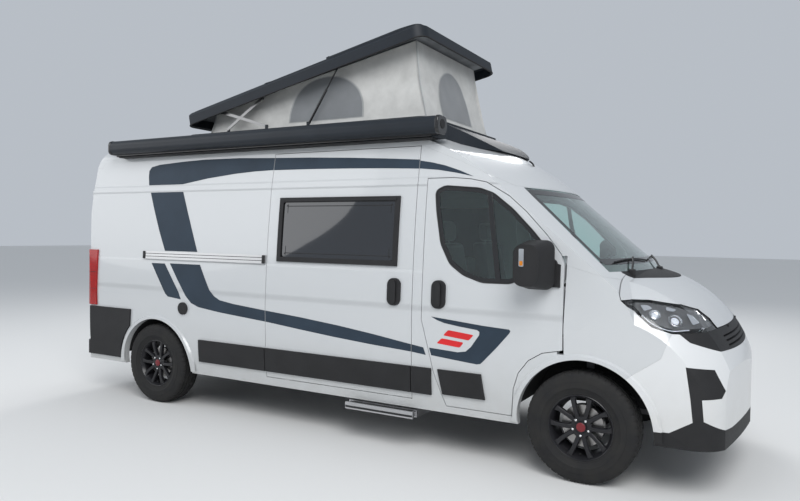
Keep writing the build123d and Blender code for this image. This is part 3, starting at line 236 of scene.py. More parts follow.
PAINT_TONE = (0.53, 0.545, 0.555)
# Pressed lines along the sides
CREASES = (
    # height, width of the bend, how far the sheet steps out above it
    (1.085, 0.06, 0.014), (1.352, 0.024, -0.007), (1.995, 0.024, 0.009), (2.052, 0.024, -0.008),
)
PAINT = paint("paint_silver_white", PAINT_TONE)
SIDE_PAINT = paint("paint_side", PAINT_TONE, 0.3, CREASES)
DOOR_PAINT = paint("paint_door", PAINT_TONE, 0.3, CREASES[:1])
BUMPER_PAINT = paint("paint_bumper", (0.64, 0.65, 0.655), 0.36)
STRIPE = foil("foil_slate", (0.02, 0.034, 0.052))
RED_FOIL = foil("foil_red", (0.62, 0.022, 0.025))
BLACK = grained("plastic_black", (0.011, 0.011, 0.012))
SMOOTH_BLACK = smeared(
    "plastic_smooth_black", (0.012, 0.012, 0.013), 0.22, 0.0, 40.0, 0.16, 0.3, Coat_Weight=0.3)
ANTHRACITE = satin("anthracite", (0.01, 0.014, 0.02), 0.45)
LID_BLACK = satin("lid_shell", (0.009, 0.013, 0.019), 0.55)
UNDERSIDE = satin("underside", (0.03, 0.03, 0.032), 0.7)
LID_LINER = grained("lid_liner", (0.2, 0.21, 0.22), 0.85, 300.0, 0.001)
LAMP_GLOW = smeared(
    "lamp_glow", (0.9, 0.93, 1.0), 0.2, 0.0, 60.0, 0.1, 0.3, Emission_Color=(0.85, 0.92, 1.0, 1),
    Emission_Strength=0.15)
LAMP_SHELL = satin("lamp_shell", (0.16, 0.165, 0.17), 0.35)
LINER = grained("liner_felt", (0.014, 0.014, 0.015), 0.9, 260.0, 0.002)
RUBBER = grained("rubber", (0.014, 0.014, 0.015), 0.7, 1400.0, 0.0003)
CAB_GLASS = glass("glass_cab", (0.74, 0.92, 0.88), ior=1.6)
DARK_GLASS = smeared(
    "glass_dark", (0.01, 0.012, 0.016), 0.04, 0.0, 2.5, 0.03, 0.06, Coat_Weight=1.0, Coat_Roughness=0.02)
CLEAR = glass("lens_clear", (0.97, 0.98, 1.0))
RED_LENS = glass("lens_red", (0.62, 0.02, 0.02), 0.08, 0.55)
AMBER = glass("lens_amber", (0.95, 0.33, 0.03), 0.1, 0.5)
CHROME = smeared("chrome", (0.78, 0.79, 0.8), 0.08, 1.0, 30.0, 0.05, 0.12)
MIRROR = smeared("mirror_glass", (0.85, 0.87, 0.88), 0.02, 1.0, 10.0, 0.01, 0.03)
ROD_METAL = brushed("rod_metal", (0.05, 0.05, 0.052), (60, 60, 60))
ARM_METAL = brushed("arm_metal", (0.26, 0.26, 0.26), (40, 40, 40))
ALUMINIUM = brushed("aluminium", (0.6, 0.6, 0.6), (1, 40, 40))
ALUMINIUM_TREAD = brushed("aluminium_tread", (0.52, 0.52, 0.53), (1, 60, 1))
CAST = satin("cast_metal", (0.1, 0.1, 0.105), 0.6)
DISC = brushed("brake_disc", (0.35, 0.34, 0.33), (8, 1, 8))
RIM_BLACK = satin("rim_satin_black", (0.012, 0.012, 0.014), 0.28)
CAP_RED = satin("cap_dark_red", (0.17, 0.02, 0.025), 0.35)
CANVAS = woven("canvas", (0.5, 0.5, 0.485))
CANVAS_SEAM = woven("canvas_seam", (0.33, 0.34, 0.34), 700.0)
NET = woven("insect_net", (0.19, 0.2, 0.21), 900.0, 0.001, 0.08)
SEAT = woven("seat_fabric", (0.055, 0.057, 0.062), 500.0)
# dusty tread: tone that varies at random over the whole tyre
TYRE = grained("tyre_rubber", (0.021, 0.021, 0.022), 0.78, 700.0, 0.0004)
vary(TYRE, noise(TYRE, 9.0, 8.0), (0.01, 0.01, 0.011), (0.016, 0.0155, 0.0145))

NODE_LOOKS = (
    # material, starts of node names
    (SIDE_PAINT, ("body_side", "sliding_door")),
    (DOOR_PAINT, ("front_door",)),
    (PAINT, ("roof_panel", "rear_door", "hood", "fender")),
    (BUMPER_PAINT, ("front_bumper",)),
    (BLACK, ("rear_bumper", "side_cladding", "bumper_trim", "window_frames", "cowl", "grille", "dashboard",
             "door_fittings")),
    (ANTHRACITE, ("awning",)),
    (LID_BLACK, ("pop_top_lid", "roof_frame")),
    (UNDERSIDE, ("underbody", "front_subframe")),
    (LINER, ("floor_pan",)),
    (CAB_GLASS, ("windscreen", "door_glass")),
    (DARK_GLASS, ("side_windows", "rear_glass")),
    (CLEAR, ("headlamps",)),
    (RED_LENS, ("tail_lamps",)),
    (ALUMINIUM, ("side_rail",)),
    (ARM_METAL, ("lid_arms",)),
    (ALUMINIUM_TREAD, ("step",)),
    (CAST, ("knuckle", "rear_axle", "engine")),
    (SMOOTH_BLACK, ("lid_strut_tubes",)),
    (ROD_METAL, ("lid_strut_rods",)),
    (CANVAS, ("pop_top_tent",)),
    (SEAT, ("seats",)),
    (RIM_BLACK, ("rim",)),
    (TYRE, ("tyre",)),
)


def dress_frame():
    """Give every carried CAD node its material."""
    for material, starts in NODE_LOOKS:
        for name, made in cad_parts.items():
            if name.startswith(starts):
                made.data.materials.clear()
                made.data.materials.append(material)


# Mesh helpers

def piece(name, verts, faces, material, body, slot, crease=35.0):
    """New mesh object that rides on a body."""
    mesh = bpy.data.meshes.new(name)
    mesh.from_pydata([tuple(v) for v in verts], [], faces)
    mesh.update()
    return finish_piece(name, mesh, material, body, slot, crease)


def put(name, data):
    """New object in the scene."""
    made = bpy.data.objects.new(name, data)
    bpy.context.scene.collection.objects.link(made)
    return made


def finish_piece(name, mesh, material, body, slot, crease=35.0):
    made = put(name, mesh)
    mesh.materials.append(material)
    mesh.shade_smooth()
    mesh.set_sharp_from_angle(angle=radians(crease))
    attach(made, body)
    return made


def from_bmesh(name, bm, material, body, slot, crease=35.0):
    bmesh.ops.recalc_face_normals(bm, faces=bm.faces)
    mesh = bpy.data.meshes.new(name)
    bm.to_mesh(mesh)
    bm.free()
    return finish_piece(name, mesh, material, body, slot, crease)


def facing_out(made):
    """Turn every face of a closed piece outwards."""
    bm = bmesh.new()
    bm.from_mesh(made.data)
    bmesh.ops.recalc_face_normals(bm, faces=bm.faces)
    bm.to_mesh(made.data)
    bm.free()
    return made


def turn_faces(made, direction):
    """Turn the faces of an open piece towards a direction."""
    for polygon in made.data.polygons:
        if polygon.normal.dot(direction) < 0:
            polygon.flip()


def cut_into_cells(bm, axis, low, high, parts):
    """Divide a flat face evenly along one axis."""
    for k in range(1, parts):
        everything = bm.verts[:] + bm.edges[:] + bm.faces[:]
        at = low + (high - low) * k / parts
        bmesh.ops.bisect_plane(bm, geom=everything, plane_co=axis * at, plane_no=axis)


def grid(columns, rows, around=False, closed=False):
    """Quads over points listed column by column; around joins the columns' ends, closed the rows'."""
    faces = []
    for c in range(columns if around else columns - 1):
        here, there = c * rows, (c + 1) % columns * rows
        for row in range(rows if closed else rows - 1):
            above = (row + 1) % rows
            faces.append((here + row, here + above, there + above, there + row))
    return faces


def on_circle(centre, radius, turn, across=0.0):
    """Point of a circle about a cross axis."""
    return Vector(centre) + Vector((cos(turn) * radius, across, sin(turn) * radius))


def cylinder(bm, centre, turn, axis, segments, radius, depth):
    """Add a cylinder, turned about one axis."""
    place = Matrix.Translation(centre) @ Matrix.Rotation(turn, 4, axis)
    bmesh.ops.create_cone(
        bm, cap_ends=True, segments=segments, radius1=radius, radius2=radius, depth=depth, matrix=place)


def thicken(bm, offset):
    """Extrude all faces, and move what is new by an offset."""
    solid = bmesh.ops.extrude_face_region(bm, geom=bm.faces[:])
    for made in solid["geom"]:
        if isinstance(made, bmesh.types.BMVert):
            made.co += offset


def cuboid(low, high):
    """Matrix that makes a unit cube into the block between two corners."""
    middle = (Vector(low) + Vector(high)) / 2
    size = Vector(high) - Vector(low)
    return Matrix.Translation(middle) @ Matrix.Diagonal((*size, 1))


def apply_modifiers(made):
    """Bake a piece's modifiers into its mesh."""
    bpy.context.view_layer.update()
    graph = bpy.context.evaluated_depsgraph_get()
    mesh = bpy.data.meshes.new_from_object(made.evaluated_get(graph))
    made.modifiers.clear()
    made.data = mesh
    return made


def bevelled(made, width, segments=3, angle=30.0):
    modifier = made.modifiers.new("edges", "BEVEL")
    modifier.width = width
    modifier.segments = segments
    modifier.limit_method = "ANGLE"
    modifier.angle_limit = radians(angle)
    modifier.harden_normals = False
    return apply_modifiers(made)


def box_piece(name, low, high, material, body, slot, bevel=0.004):
    """Rounded block between two corners."""
    bm = bmesh.new()
    bmesh.ops.create_cube(bm, size=1.0, matrix=cuboid(low, high))
    made = from_bmesh(name, bm, material, body, slot)
    return bevelled(made, bevel)


def tube(name, points, radius, material, body, slot, around=14, smooth=True):
    """Round bar along a smooth path."""
    path = catmull(points, 8) if smooth and len(points) > 2 else [Vector(p) for p in points]
    verts = []
    side = None
    for i, point in enumerate(path):
        ahead = path[min(i + 1, len(path) - 1)] - path[max(i - 1, 0)]
        ahead.normalize()
        guess = side or (UPWARDS if abs(ahead.z) < 0.9 else ALONG)
        side = (guess - ahead * guess.dot(ahead)).normalized()
        other = ahead.cross(side)
        for k in range(around):
            turn = 2 * pi * k / around
            verts.append(point + side * cos(turn) * radius + other * sin(turn) * radius)
    faces = grid(len(path), around, False, True)
    faces.append(tuple(range(around))[::-1])
    faces.append(tuple(range(len(verts) - around, len(verts))))
    return piece(name, verts, faces, material, body, slot)


def catmull(points, steps):
    """Smooth path through points."""
    points = [Vector(p) for p in points]
    padded = [points[0] * 2 - points[1]] + points + [points[-1] * 2 - points[-2]]
    path = []
    for a, b, c, d in zip(padded, padded[1:], padded[2:], padded[3:]):
        for k in range(steps):
            t = k / steps
            path.append(0.5 * (
                2 * b + (c - a) * t + (2 * a - 5 * b + 4 * c - d) * t * t
                + (3 * b - a - 3 * c + d) * t ** 3
            ))
    path.append(points[-1])
    return path


def revolved(name, profile, centre, material, body, slot, around, closed, crease, dents=None):
    """Profile of (radius, across) turned about a cross axis; dents(i, j) lowers a radius."""
    verts = [
        on_circle(centre, radius - (dents(i, j) if dents else 0.0), 2 * pi * i / around, across)
        for i in range(around) for j, (radius, across) in enumerate(profile)
    ]
    return facing_out(piece(
        name, verts, grid(around, len(profile), True, closed), material, body, slot, crease))


def rounded(points, radius, steps=6):
    """Closed outline with its corners rounded to one radius."""
    out = []
    count = len(points)
    for i in range(count):
        before = Vector(points[i - 1])
        corner = Vector(points[i])
        after = Vector(points[(i + 1) % count])
        back, on = (before - corner), (after - corner)
        reach = min(radius, back.length * 0.48, on.length * 0.48)
        start = corner + back.normalized() * reach
        end = corner + on.normalized() * reach
        for k in range(steps + 1):
            t = k / steps
            out.append((1 - t) ** 2 * start + 2 * t * (1 - t) * corner + t * t * end)
    return out


def rectangle(u_low, u_high, v_low, v_high, foot_first=False):
    """Corners of a rectangle from its lower near one on, up its side or first along its foot."""
    corners = ((u_low, v_low), (u_low, v_high), (u_high, v_high), (u_high, v_low))
    return corners[:1] + corners[:0:-1] if foot_first else corners


def inset_loop(loop, amount):
    """Closed outline moved inwards along its corner normals."""
    area = sum(a.x * b.y - b.x * a.y for a, b in zip(loop, loop[1:] + loop[:1]))
    sign = 1 if area > 0 else -1
    out = []
    for i, here in enumerate(loop):
        back = (here - loop[i - 1]).normalized()
        on = (loop[(i + 1) % len(loop)] - here).normalized()
        tangent = (back + on).normalized()
        normal = Vector((-tangent.y, tangent.x)) * sign
        stretch = 1 / max(0.5, abs(normal.dot(Vector((-on.y, on.x)))))
        out.append(here + normal * amount * stretch)
    return out


class Skin:
    """Outer surface of some nodes, for pieces that lie on it."""

    def __init__(self, *names):
        bm = bmesh.new()
        for name in names:
            bm.from_mesh(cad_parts[name].data)
        self.tree = BVHTree.FromBMesh(bm)
        bm.free()

    def cast(self, start, direction):
        """First point hit from a start along a direction, and the normal there."""
        spot, normal, _, _ = self.tree.ray_cast(Vector(start), Vector(direction).normalized())
        return spot, normal

    def side(self, x, z, side):
        """Point on the side at (x, z), and its outward normal."""
        return self.cast((x, side * 2.0, z), (0, -side, 0))


def band(name, loop, width, place, material, body, slot, proud, thick):
    """Band of one width inside a closed outline; place(point, lift) lays a point on its surface."""
    verts, faces = [], []
    count = len(loop)
    for ring in (loop, inset_loop(loop, width)):
        for depth in (0.0, thick):
            verts += [place(point, proud - depth) for point in ring]
    for k in range(count):
        n = (k + 1) % count
        faces.append((k, n, 2 * count + n, 2 * count + k))
        faces.append((k, count + k, count + n, n))
        faces.append((2 * count + k, 2 * count + n, 3 * count + n, 3 * count + k))
        faces.append((count + k, 3 * count + k, 3 * count + n, count + n))
    return facing_out(piece(name, verts, faces, material, body, slot, 30.0))


def end_ring(name, loop, width, skin, facing, material, body, slot, proud, thick):
    """Band inside a closed (y, z) outline, on the van's front or rear."""
    def place(point, lift):
        spot, normal = skin.cast((facing * 4.0, point[0], point[1]), (-facing, 0, 0))
        return spot + normal * lift
    return band(name, loop, width, place, material, body, slot, proud, thick)


def side_ring(name, loop, width, skin, side, material, body, slot, proud, thick, bevel=0.0):
    """Band inside a closed (x, z) outline, on the van's side."""
    def place(point, lift):
        return Vector((point[0], skin.side(point[0], point[1], side)[0].y + side * lift, point[1]))
    made = band(name, loop, width, place, material, body, slot, proud, thick)
    return bevelled(made, bevel, 2) if bevel else made


def side_plate(name, outline, skin, side, material, body, slot, proud, cell, thick=0.0, bevel=0.0):
    """Plate that follows the van's side inside an (x, z) outline."""
    bm = bmesh.new()
    bm.faces.new([bm.verts.new((p[0], 0, p[1])) for p in outline])
    for axis, index in ((ALONG, 0), (UPWARDS, 1)):
        low, high = min(p[index] for p in outline), max(p[index] for p in outline)
        cut_into_cells(bm, axis, low, high, int((high - low) / cell) + 1)
    y = side
    for vert in bm.verts:
        # past the skin's edge a point keeps the last depth that was found
        spot, _ = skin.side(vert.co.x, vert.co.z, side)
        y = spot.y if spot else y
        vert.co.y = y + side * proud
    for face in bm.faces:
        face.normal_update()
        if face.normal.y * side < 0:
            face.normal_flip()
    if thick:
        thicken(bm, ACROSS * -side * thick)
    made = from_bmesh(name, bm, material, body, slot, 30.0)
    if not thick:
        turn_faces(made, ACROSS * side)
    return bevelled(made, bevel) if bevel else made


# Foil stripes on both sides
FOILS = (
    # name, node that carries it, outline in (x, z)
    ("foil_upper_rear", "body_side", (
        (-2.146, 2.06), (-2.168, 2.15), (-2.171, 2.2), (-2.143, 2.236), (-2.036, 2.256), (-1.75, 2.272),
        (-1.463, 2.282), (-1.03, 2.278), (-0.6228, 2.262), (-0.6228, 2.157), (-0.83, 2.152), (-1.059, 2.138),
        (-1.38, 2.106), (-1.696, 2.06),
    )),
    ("foil_upper_door", "sliding_door", (
        (-0.6172, 2.262), (-0.25, 2.25), (0.15, 2.231), (0.5, 2.21), (0.7872, 2.19), (0.7872, 2.121),
        (0.48, 2.134), (0.162, 2.144), (-0.22, 2.152), (-0.6172, 2.156),
    )),
    ("foil_upper_tip", "body_side", (
        (0.7928, 2.182), (0.9, 2.163), (1.007, 2.137), (1.127, 2.096), (1.239, 2.05), (1.1, 2.08),
        (0.952, 2.106), (0.7928, 2.122),
    )),
    ("foil_band_high", "body_side", (
        (-2.108, 1.989), (-2.049, 1.851), (-1.946, 1.624), (-1.854, 1.44), (-1.435, 1.44), (-1.515, 1.629),
        (-1.61, 1.848), (-1.672, 1.989),
    )),
    ("foil_band_low", "body_side", (
        (-1.781, 1.326), (-1.67, 1.175), (-1.564, 1.038), (-1.493, 0.975), (-1.401, 0.944), (-1.152, 0.915),
        (-0.88, 0.893), (-0.6228, 0.873), (-0.6228, 0.967), (-0.8, 0.983), (-0.976, 0.999), (-1.14, 1.022),
        (-1.21, 1.055), (-1.268, 1.105), (-1.33, 1.21), (-1.394, 1.326),
    )),
    ("foil_band_narrow", "body_side", (
        (-2.027, 1.322), (-1.857, 1.082), (-1.83, 1.045), (-1.792, 1.017), (-1.622, 1.001), (-1.655, 1.067),
        (-1.847, 1.322),
    )),
    ("foil_band_door", "sliding_door", (
        (-0.6172, 0.967), (-0.25, 0.937), (0.137, 0.898), (0.46, 0.858), (0.7872, 0.811), (0.7872, 0.756),
        (0.43, 0.778), (0.083, 0.805), (-0.27, 0.838), (-0.6172, 0.873),
    )),
    ("foil_band_pillar", "body_side", ((0.7928, 0.811), (0.89, 0.797), (0.912, 0.743), (0.7928, 0.756))),
    ("foil_blade", "front_door", (
        (0.952, 1.03), (1.16, 1.012), (1.36, 0.994), (1.555, 0.983), (1.566, 0.974), (1.56, 0.958),
        (1.46, 0.842), (1.362, 0.738), (1.345, 0.722), (1.318, 0.716), (1.14, 0.73), (0.956, 0.746),
        (0.938, 0.8), (1.17, 0.788), (1.232, 0.8), (1.272, 0.836), (1.334, 0.925), (1.336, 0.948),
        (1.318, 0.96), (1.18, 0.974), (1.06, 0.99), (1.0, 1.008),
    )),
)
ACCENTS = (
    ((1.0, 0.838), (1.04, 0.878), (1.215, 0.862), (1.185, 0.822)),
    ((1.052, 0.9), (1.092, 0.942), (1.292, 0.922), (1.255, 0.88)),
)


# Wheels
SPOKE_PAIRS = 5
SPOKE_SPREAD = radians(15.5)
SPOKE_ROWS = (
    # radius, half width, outer face depth, thickness
    (0.058, 0.018, 0.024, 0.032), (0.095, 0.0165, 0.018, 0.032), (0.14, 0.016, 0.011, 0.03),
    (0.176, 0.017, 0.008, 0.03), (0.203, 0.025, 0.009, 0.034),
)
# a spoke's section: shares of the half width and of the thickness
SPOKE_SECTION = ((0.72, 0.0), (-0.72, 0.0), (-1.0, 0.35), (-0.9, 1.0), (0.9, 1.0), (1.0, 0.35))
RIM_FACE = 0.094
LUGS = 5
LUG_CIRCLE = 0.055
# profiles of (radius, depth behind the rim's face)
BARREL = (
    (0.2175, 0.0), (0.2145, -0.002), (0.2105, 0.0), (0.204, 0.01), (0.195, 0.022), (0.188, 0.04),
    (0.185, 0.1), (0.179, 0.14), (0.203, 0.182), (0.2175, 0.188), (0.2175, 0.182), (0.2032, 0.172),
    (0.185, 0.13), (0.191, 0.05), (0.2032, 0.016), (0.2175, 0.008),
)
HUB = (
    (0.0, 0.06), (0.066, 0.06), (0.072, 0.04), (0.072, 0.028), (0.068, 0.0235), (0.052, 0.0215),
    (0.04, 0.024), (0.037, 0.02), (0.0355, 0.0165), (0.0, 0.0165),
)
CAP = ((0.0, 0.0115), (0.018, 0.012), (0.028, 0.0135), (0.0305, 0.0155), (0.0305, 0.0185))
BRAKE = ((0.06, 0.096), (0.14, 0.096), (0.141, 0.094), (0.141, 0.07), (0.14, 0.068), (0.06, 0.068))
CROSS_CUTS = (
    # rows of the tyre's profile, which of every six segments, depth
    (range(11, 16), 0, 0.0055), (range(27, 32), 3, 0.0055), (range(18, 25), 2, 0.003),
)


def tyre_profile():
    """Closed profile of (radius, across), from bead over the tread to the other bead."""
    half = TYRE_HALF - 0.0035
    wall = [
        (0.205, 0.084), (0.216, 0.092), (0.228, 0.0965), (0.23, 0.0955), (0.245, 0.1035), (0.262, 0.108),
        (0.264, 0.1105), (0.285, half), (0.3, half + 0.0005), (0.302, half - 0.002), (0.325, half - 0.004),
        (0.345, half - 0.0085), (0.356, half - 0.013), (0.3635, half - 0.02),
    ]
    tread = []
    for middle in (0.066, 0.024):
        tread += [(0.37, middle + 0.0115), (0.3712, middle + 0.005), (0.3632, middle + 0.0035),
                  (0.3632, middle - 0.0035), (0.3716, middle - 0.005)]
    right = [(radius, -across) for radius, across in wall]
    return right + [(r, -a) for r, a in tread] + [(TYRE_RADIUS - 0.0002, 0.0)] + tread[::-1] + wall[::-1] + [
        (0.205, 0.02), (0.205, -0.02)]


def tread_dents(i, j):
    """Cross cuts: shoulder blocks every six segments, finer cuts in the ribs."""
    return sum(depth for rows, first, depth in CROSS_CUTS if j in rows and i % 6 == first)


def build_wheel(corner, centre, side):
    """Tyre and cast rim with five pairs of spokes, bolts, cap and valve."""
    body = f"wheel_{corner}"
    profile = tyre_profile()
    tyre = revolved(f"tyre_tread_{corner}", profile, centre, TYRE, body, "tyre", 300, True, 40.0, tread_dents)
    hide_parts(f"tyre_{corner}")
    for name, rows, material, slot, around, closed, crease in (
        ("rim_barrel", BARREL, RIM_BLACK, "wheel_black", 96, True, 28.0),
        ("rim_hub", HUB, RIM_BLACK, "wheel_black", 64, False, 28.0),
        ("rim_cap", CAP, CAP_RED, "wheel_black", 48, False, 50.0),
        ("brake_disc", BRAKE, DISC, "steel", 80, True, 30.0),
    ):
        profile = [(radius, (RIM_FACE - depth) * side) for radius, depth in rows]
        made = revolved(f"{name}_{corner}", profile, centre, material, body, slot, around, closed, crease)
        if name == "rim_barrel":
            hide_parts(f"rim_{corner}")
    bm = bmesh.new()
    for pair in range(SPOKE_PAIRS):
        for lean in (-SPOKE_SPREAD, SPOKE_SPREAD):
            rings = []
            for k, (radius, half, depth, thick) in enumerate(SPOKE_ROWS):
                lean_here = lean * (1.45 - 0.45 * k / (len(SPOKE_ROWS) - 1))
                turn = pi / 2 + pair * 2 * pi / SPOKE_PAIRS + lean_here
                base = on_circle(centre, radius, turn)
                across = Vector((-sin(turn), 0, cos(turn))) * half
                rings.append([
                    bm.verts.new(base + across * wide + ACROSS * (RIM_FACE - depth - thick * deep) * side)
                    for wide, deep in SPOKE_SECTION
                ])
            for a, b in zip(rings, rings[1:]):
                for k in range(len(a)):
                    n = (k + 1) % len(a)
                    bm.faces.new((a[k], a[n], b[n], b[k]))
            bm.faces.new(rings[0])
            bm.faces.new(rings[-1])
    bevelled(from_bmesh(f"rim_spokes_{corner}", bm, RIM_BLACK, body, "wheel_black", 30.0), 0.002, 2)
    bm = bmesh.new()
    for k in range(LUGS):
        turn = pi / 2 + pi / LUGS + k * 2 * pi / LUGS
        spot = on_circle(centre, LUG_CIRCLE, turn, (RIM_FACE - 0.018) * side)
        cylinder(bm, spot, pi / 2, "X", 6, 0.0085, 0.016)
    bevelled(from_bmesh(f"wheel_bolts_{corner}", bm, CHROME, body, "wheel_black"), 0.0012, 2)
    stem = [Vector(centre) + Vector((0.0, y * side, z)) for y, z in ((0.06, -0.18), (0.078, -0.176))]
    tube(f"valve_{corner}", stem, 0.004, RUBBER, body, "tyre", 10, False)


def build_wheels():
    for corner in ("front_right", "front_left", "rear_right", "rear_left"):
        low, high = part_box(f"tyre_{corner}")
        side = LEFT if corner.endswith("left") else RIGHT
        build_wheel(corner, ((low.x + high.x) / 2, (low.y + high.y) / 2, TYRE_RADIUS), side)


# Plates on both sides: windows, stripes, lamps and mirrors
WINDOW_PANE = rounded(rectangle(-0.453, 0.618, 1.422, 1.883), 0.034)
LAMP_BACK = (
    (2.335, 1.205), (2.44, 1.205), (2.6, 1.18), (2.69, 1.148), (2.76, 1.09), (2.77, 1.06),
    (2.6, 1.048), (2.49, 1.082), (2.415, 1.132),
)
LAMP_FACETS = (
    ((2.395, 1.196), (2.44, 1.196), (2.47, 1.176), (2.425, 1.16)),
    ((2.655, 1.148), (2.69, 1.134), (2.735, 1.092), (2.7, 1.08)),
    ((2.54, 1.188), (2.6, 1.172), (2.59, 1.158), (2.545, 1.166)),
)
MIRROR_FOOT = ((1.772, 1.302), (1.8, 1.47), (1.836, 1.492), (1.884, 1.462), (1.884, 1.302))
PLATES = [
    # name, outline, nodes under it, material, body, slot, lift, cell, thickness, bevel
    ("window_pane", WINDOW_PANE, ("side_windows",), DARK_GLASS, "body", "dark_glass",
     0.014, 0.12, 0.01, 0.003),
    ("window_hinge", rounded(rectangle(-0.46, 0.625, 1.884, 1.908), 0.008, 3),
     ("sliding_door", "side_windows", "window_frames"), BLACK, "body", "black_plastic",
     0.006, 0.12, 0.006, 0.002),
    ("cab_window_post", ((1.352, 1.944), (1.392, 1.93), (1.488, 1.304), (1.448, 1.303)),
     ("door_glass", "front_door"), SMOOTH_BLACK, "front_door", "black_plastic", 0.005, 0.1, 0.006, 0.002),
    ("lamp_shell", LAMP_BACK, ("headlamps",), LAMP_SHELL, "body", "lamp_clear", -0.03, 0.03),
    ("mirror_foot", rounded(MIRROR_FOOT, 0.02, 5), ("front_door",), BLACK, "front_door", "black_plastic",
     0.026, 0.04, 0.026, 0.006),
    ("mirror_groove", rectangle(1.672, 1.822, 1.362, 1.372), ("door_fittings",), RUBBER, "front_door",
     "black_plastic", 0.0008, 0.031),
    ("mirror_indicator", rounded(rectangle(1.7, 1.734, 1.43, 1.545), 0.008, 4), ("door_fittings",),
     CHROME, "front_door", "lamp_clear", 0.004, 0.03, 0.004, 0.001),
    ("mirror_amber", rounded(rectangle(1.706, 1.728, 1.437, 1.466), 0.005, 3), ("door_fittings",),
     AMBER, "front_door", "lamp_clear", 0.0048, 0.03),
]
for stripe, under, shape in FOILS:
    rider = "front_door" if under == "front_door" else "body"
    PLATES.append((stripe, shape, (under,), STRIPE, rider, "body_paint", 0.0009, 0.05))
for number, shape in enumerate(ACCENTS):
    PLATES.append((f"foil_accent_{number}", rounded(shape, 0.012, 4), ("front_door",), RED_FOIL, "front_door",
                   "body_paint", 0.001, 0.05))
for number, shape in enumerate(LAMP_FACETS):
    PLATES.append((f"lamp_facet_{number}", rounded(shape, 0.01, 3), ("headlamps",), CHROME, "body",
                   "lamp_clear", -0.014, 0.02))
for number, foot in enumerate((1.04, 1.205)):
    PLATES.append((f"tail_line_{number}", rectangle(-2.968, -2.806, foot, foot + 0.005), ("tail_lamps",),
                   RUBBER, "body", "lamp_red", 0.0008, 0.05))


def of_side(name, word):
    """Name with its side where there are two; the left has its wall in place of the sliding door."""
    if name == "sliding_door" and word == "left":
        return "body_side_left"
    return f"{name}_{word}" if f"{name}_{word}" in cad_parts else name


def build_plates():
    for side, word in SIDES:
        for name, outline, under, material, body, slot, *sizes in PLATES:
            skin = Skin(*(of_side(one, word) for one in under))
            side_plate(f"{name}_{word}", outline, skin, side, material, of_side(body, word), slot, *sizes)


# Bands: inner line of the camper windows, edge and seal of the cab windows, borders of the other glass
CAB_WINDOW = (
    (0.968, 1.805), (0.951, 1.947), (1.02, 1.982), (1.293, 1.959), (1.4, 1.922), (1.546, 1.812),
    (1.694, 1.667), (1.822, 1.524), (1.832, 1.472), (1.56, 1.303), (1.346, 1.301), (1.202, 1.347),
    (1.095, 1.421), (1.016, 1.565),
)
SCREEN = ((-0.73087, 1.966), (0.73087, 1.966), (0.85498, 1.442), (-0.85498, 1.442))


def build_bands():
    line = inset_loop(WINDOW_PANE, 0.034)
    edge = rounded(CAB_WINDOW, 0.03, 4)
    seal = inset_loop(edge, -0.009)
    for side, word in SIDES:
        side_ring(f"window_line_{word}", line, 0.006, Skin("side_windows"), side, RUBBER, "body",
                  "black_plastic", 0.015, 0.001)
        body = f"front_door_{word}"
        skin = Skin(f"door_glass_{word}", body)
        side_ring(f"cab_window_edge_{word}", edge, 0.026, skin, side, SMOOTH_BLACK, body, "black_plastic",
                  0.0015, 0.002)
        side_ring(f"cab_window_seal_{word}", seal, 0.01, skin, side, RUBBER, body, "black_plastic", 0.004,
                  0.008, 0.0015)
        loop = rounded(rectangle(side * 0.156, side * 0.754, 1.426, 1.984), 0.03, 4)
        end_ring(f"rear_glass_border_{word}", loop, 0.03, Skin(f"rear_glass_{word}"), -1, SMOOTH_BLACK,
                 f"rear_door_{word}", "black_plastic", 0.0012, 0.001)
    end_ring("screen_border", dense(rounded(SCREEN, 0.05, 8), 0.05), 0.038, Skin("windscreen"), 1,
             SMOOTH_BLACK, "body", "black_plastic", 0.0012, 0.001)


def dense(loop, step):
    """Closed outline with long edges divided."""
    out = []
    for here, there in zip(loop, loop[1:] + loop[:1]):
        parts = max(1, int((there - here).length / step))
        out += [here.lerp(there, k / parts) for k in range(parts)]
    return out


# Wipers, parked along the foot of the windscreen
WIPERS = (
    # blade from y to y, arm's pivot y
    (-0.7, -0.05, -0.62), (0.02, 0.66, 0.06),
)
BLADE_Z = 1.452


def build_wipers():
    skin = Skin("windscreen")
    for k, (start, end, pivot) in enumerate(WIPERS):
        points = []
        for step in range(9):
            y = start + (end - start) * step / 8
            spot, normal = skin.cast((4.0, y, BLADE_Z + 0.015 * sin(pi * step / 8)), (-1, 0, 0))
            points.append(spot + normal * 0.01)
        tube(f"wiper_blade_{k}", points, 0.006, RUBBER, "body", "black_plastic", 8)
        spot, normal = skin.cast((4.0, pivot, 1.44), (-1, 0, 0))
        root = spot + Vector((0.075, 0, -0.04))
        middle = points[4] + normal * 0.016
        bend = root.lerp(middle, 0.5) + normal * 0.006
        tube(f"wiper_arm_{k}", [root, bend, middle], 0.0075, BLACK, "body", "black_plastic", 10)
        low, high = root - Vector((0.022, 0.022, 0.055)), root + Vector((0.022, 0.022, 0.012))
        box_piece(f"wiper_pivot_{k}", low, high, BLACK, "body", "black_plastic", 0.008)


# Headlamps: bowls, lenses and a light strip under the clear cover
LAMP_BOWLS = (
    # x, z, radius
    (2.61, 1.112, 0.046), (2.492, 1.146, 0.036),
)
LAMP_STRIP = ((2.418, 1.142), (2.486, 1.09), (2.59, 1.052), (2.69, 1.056))


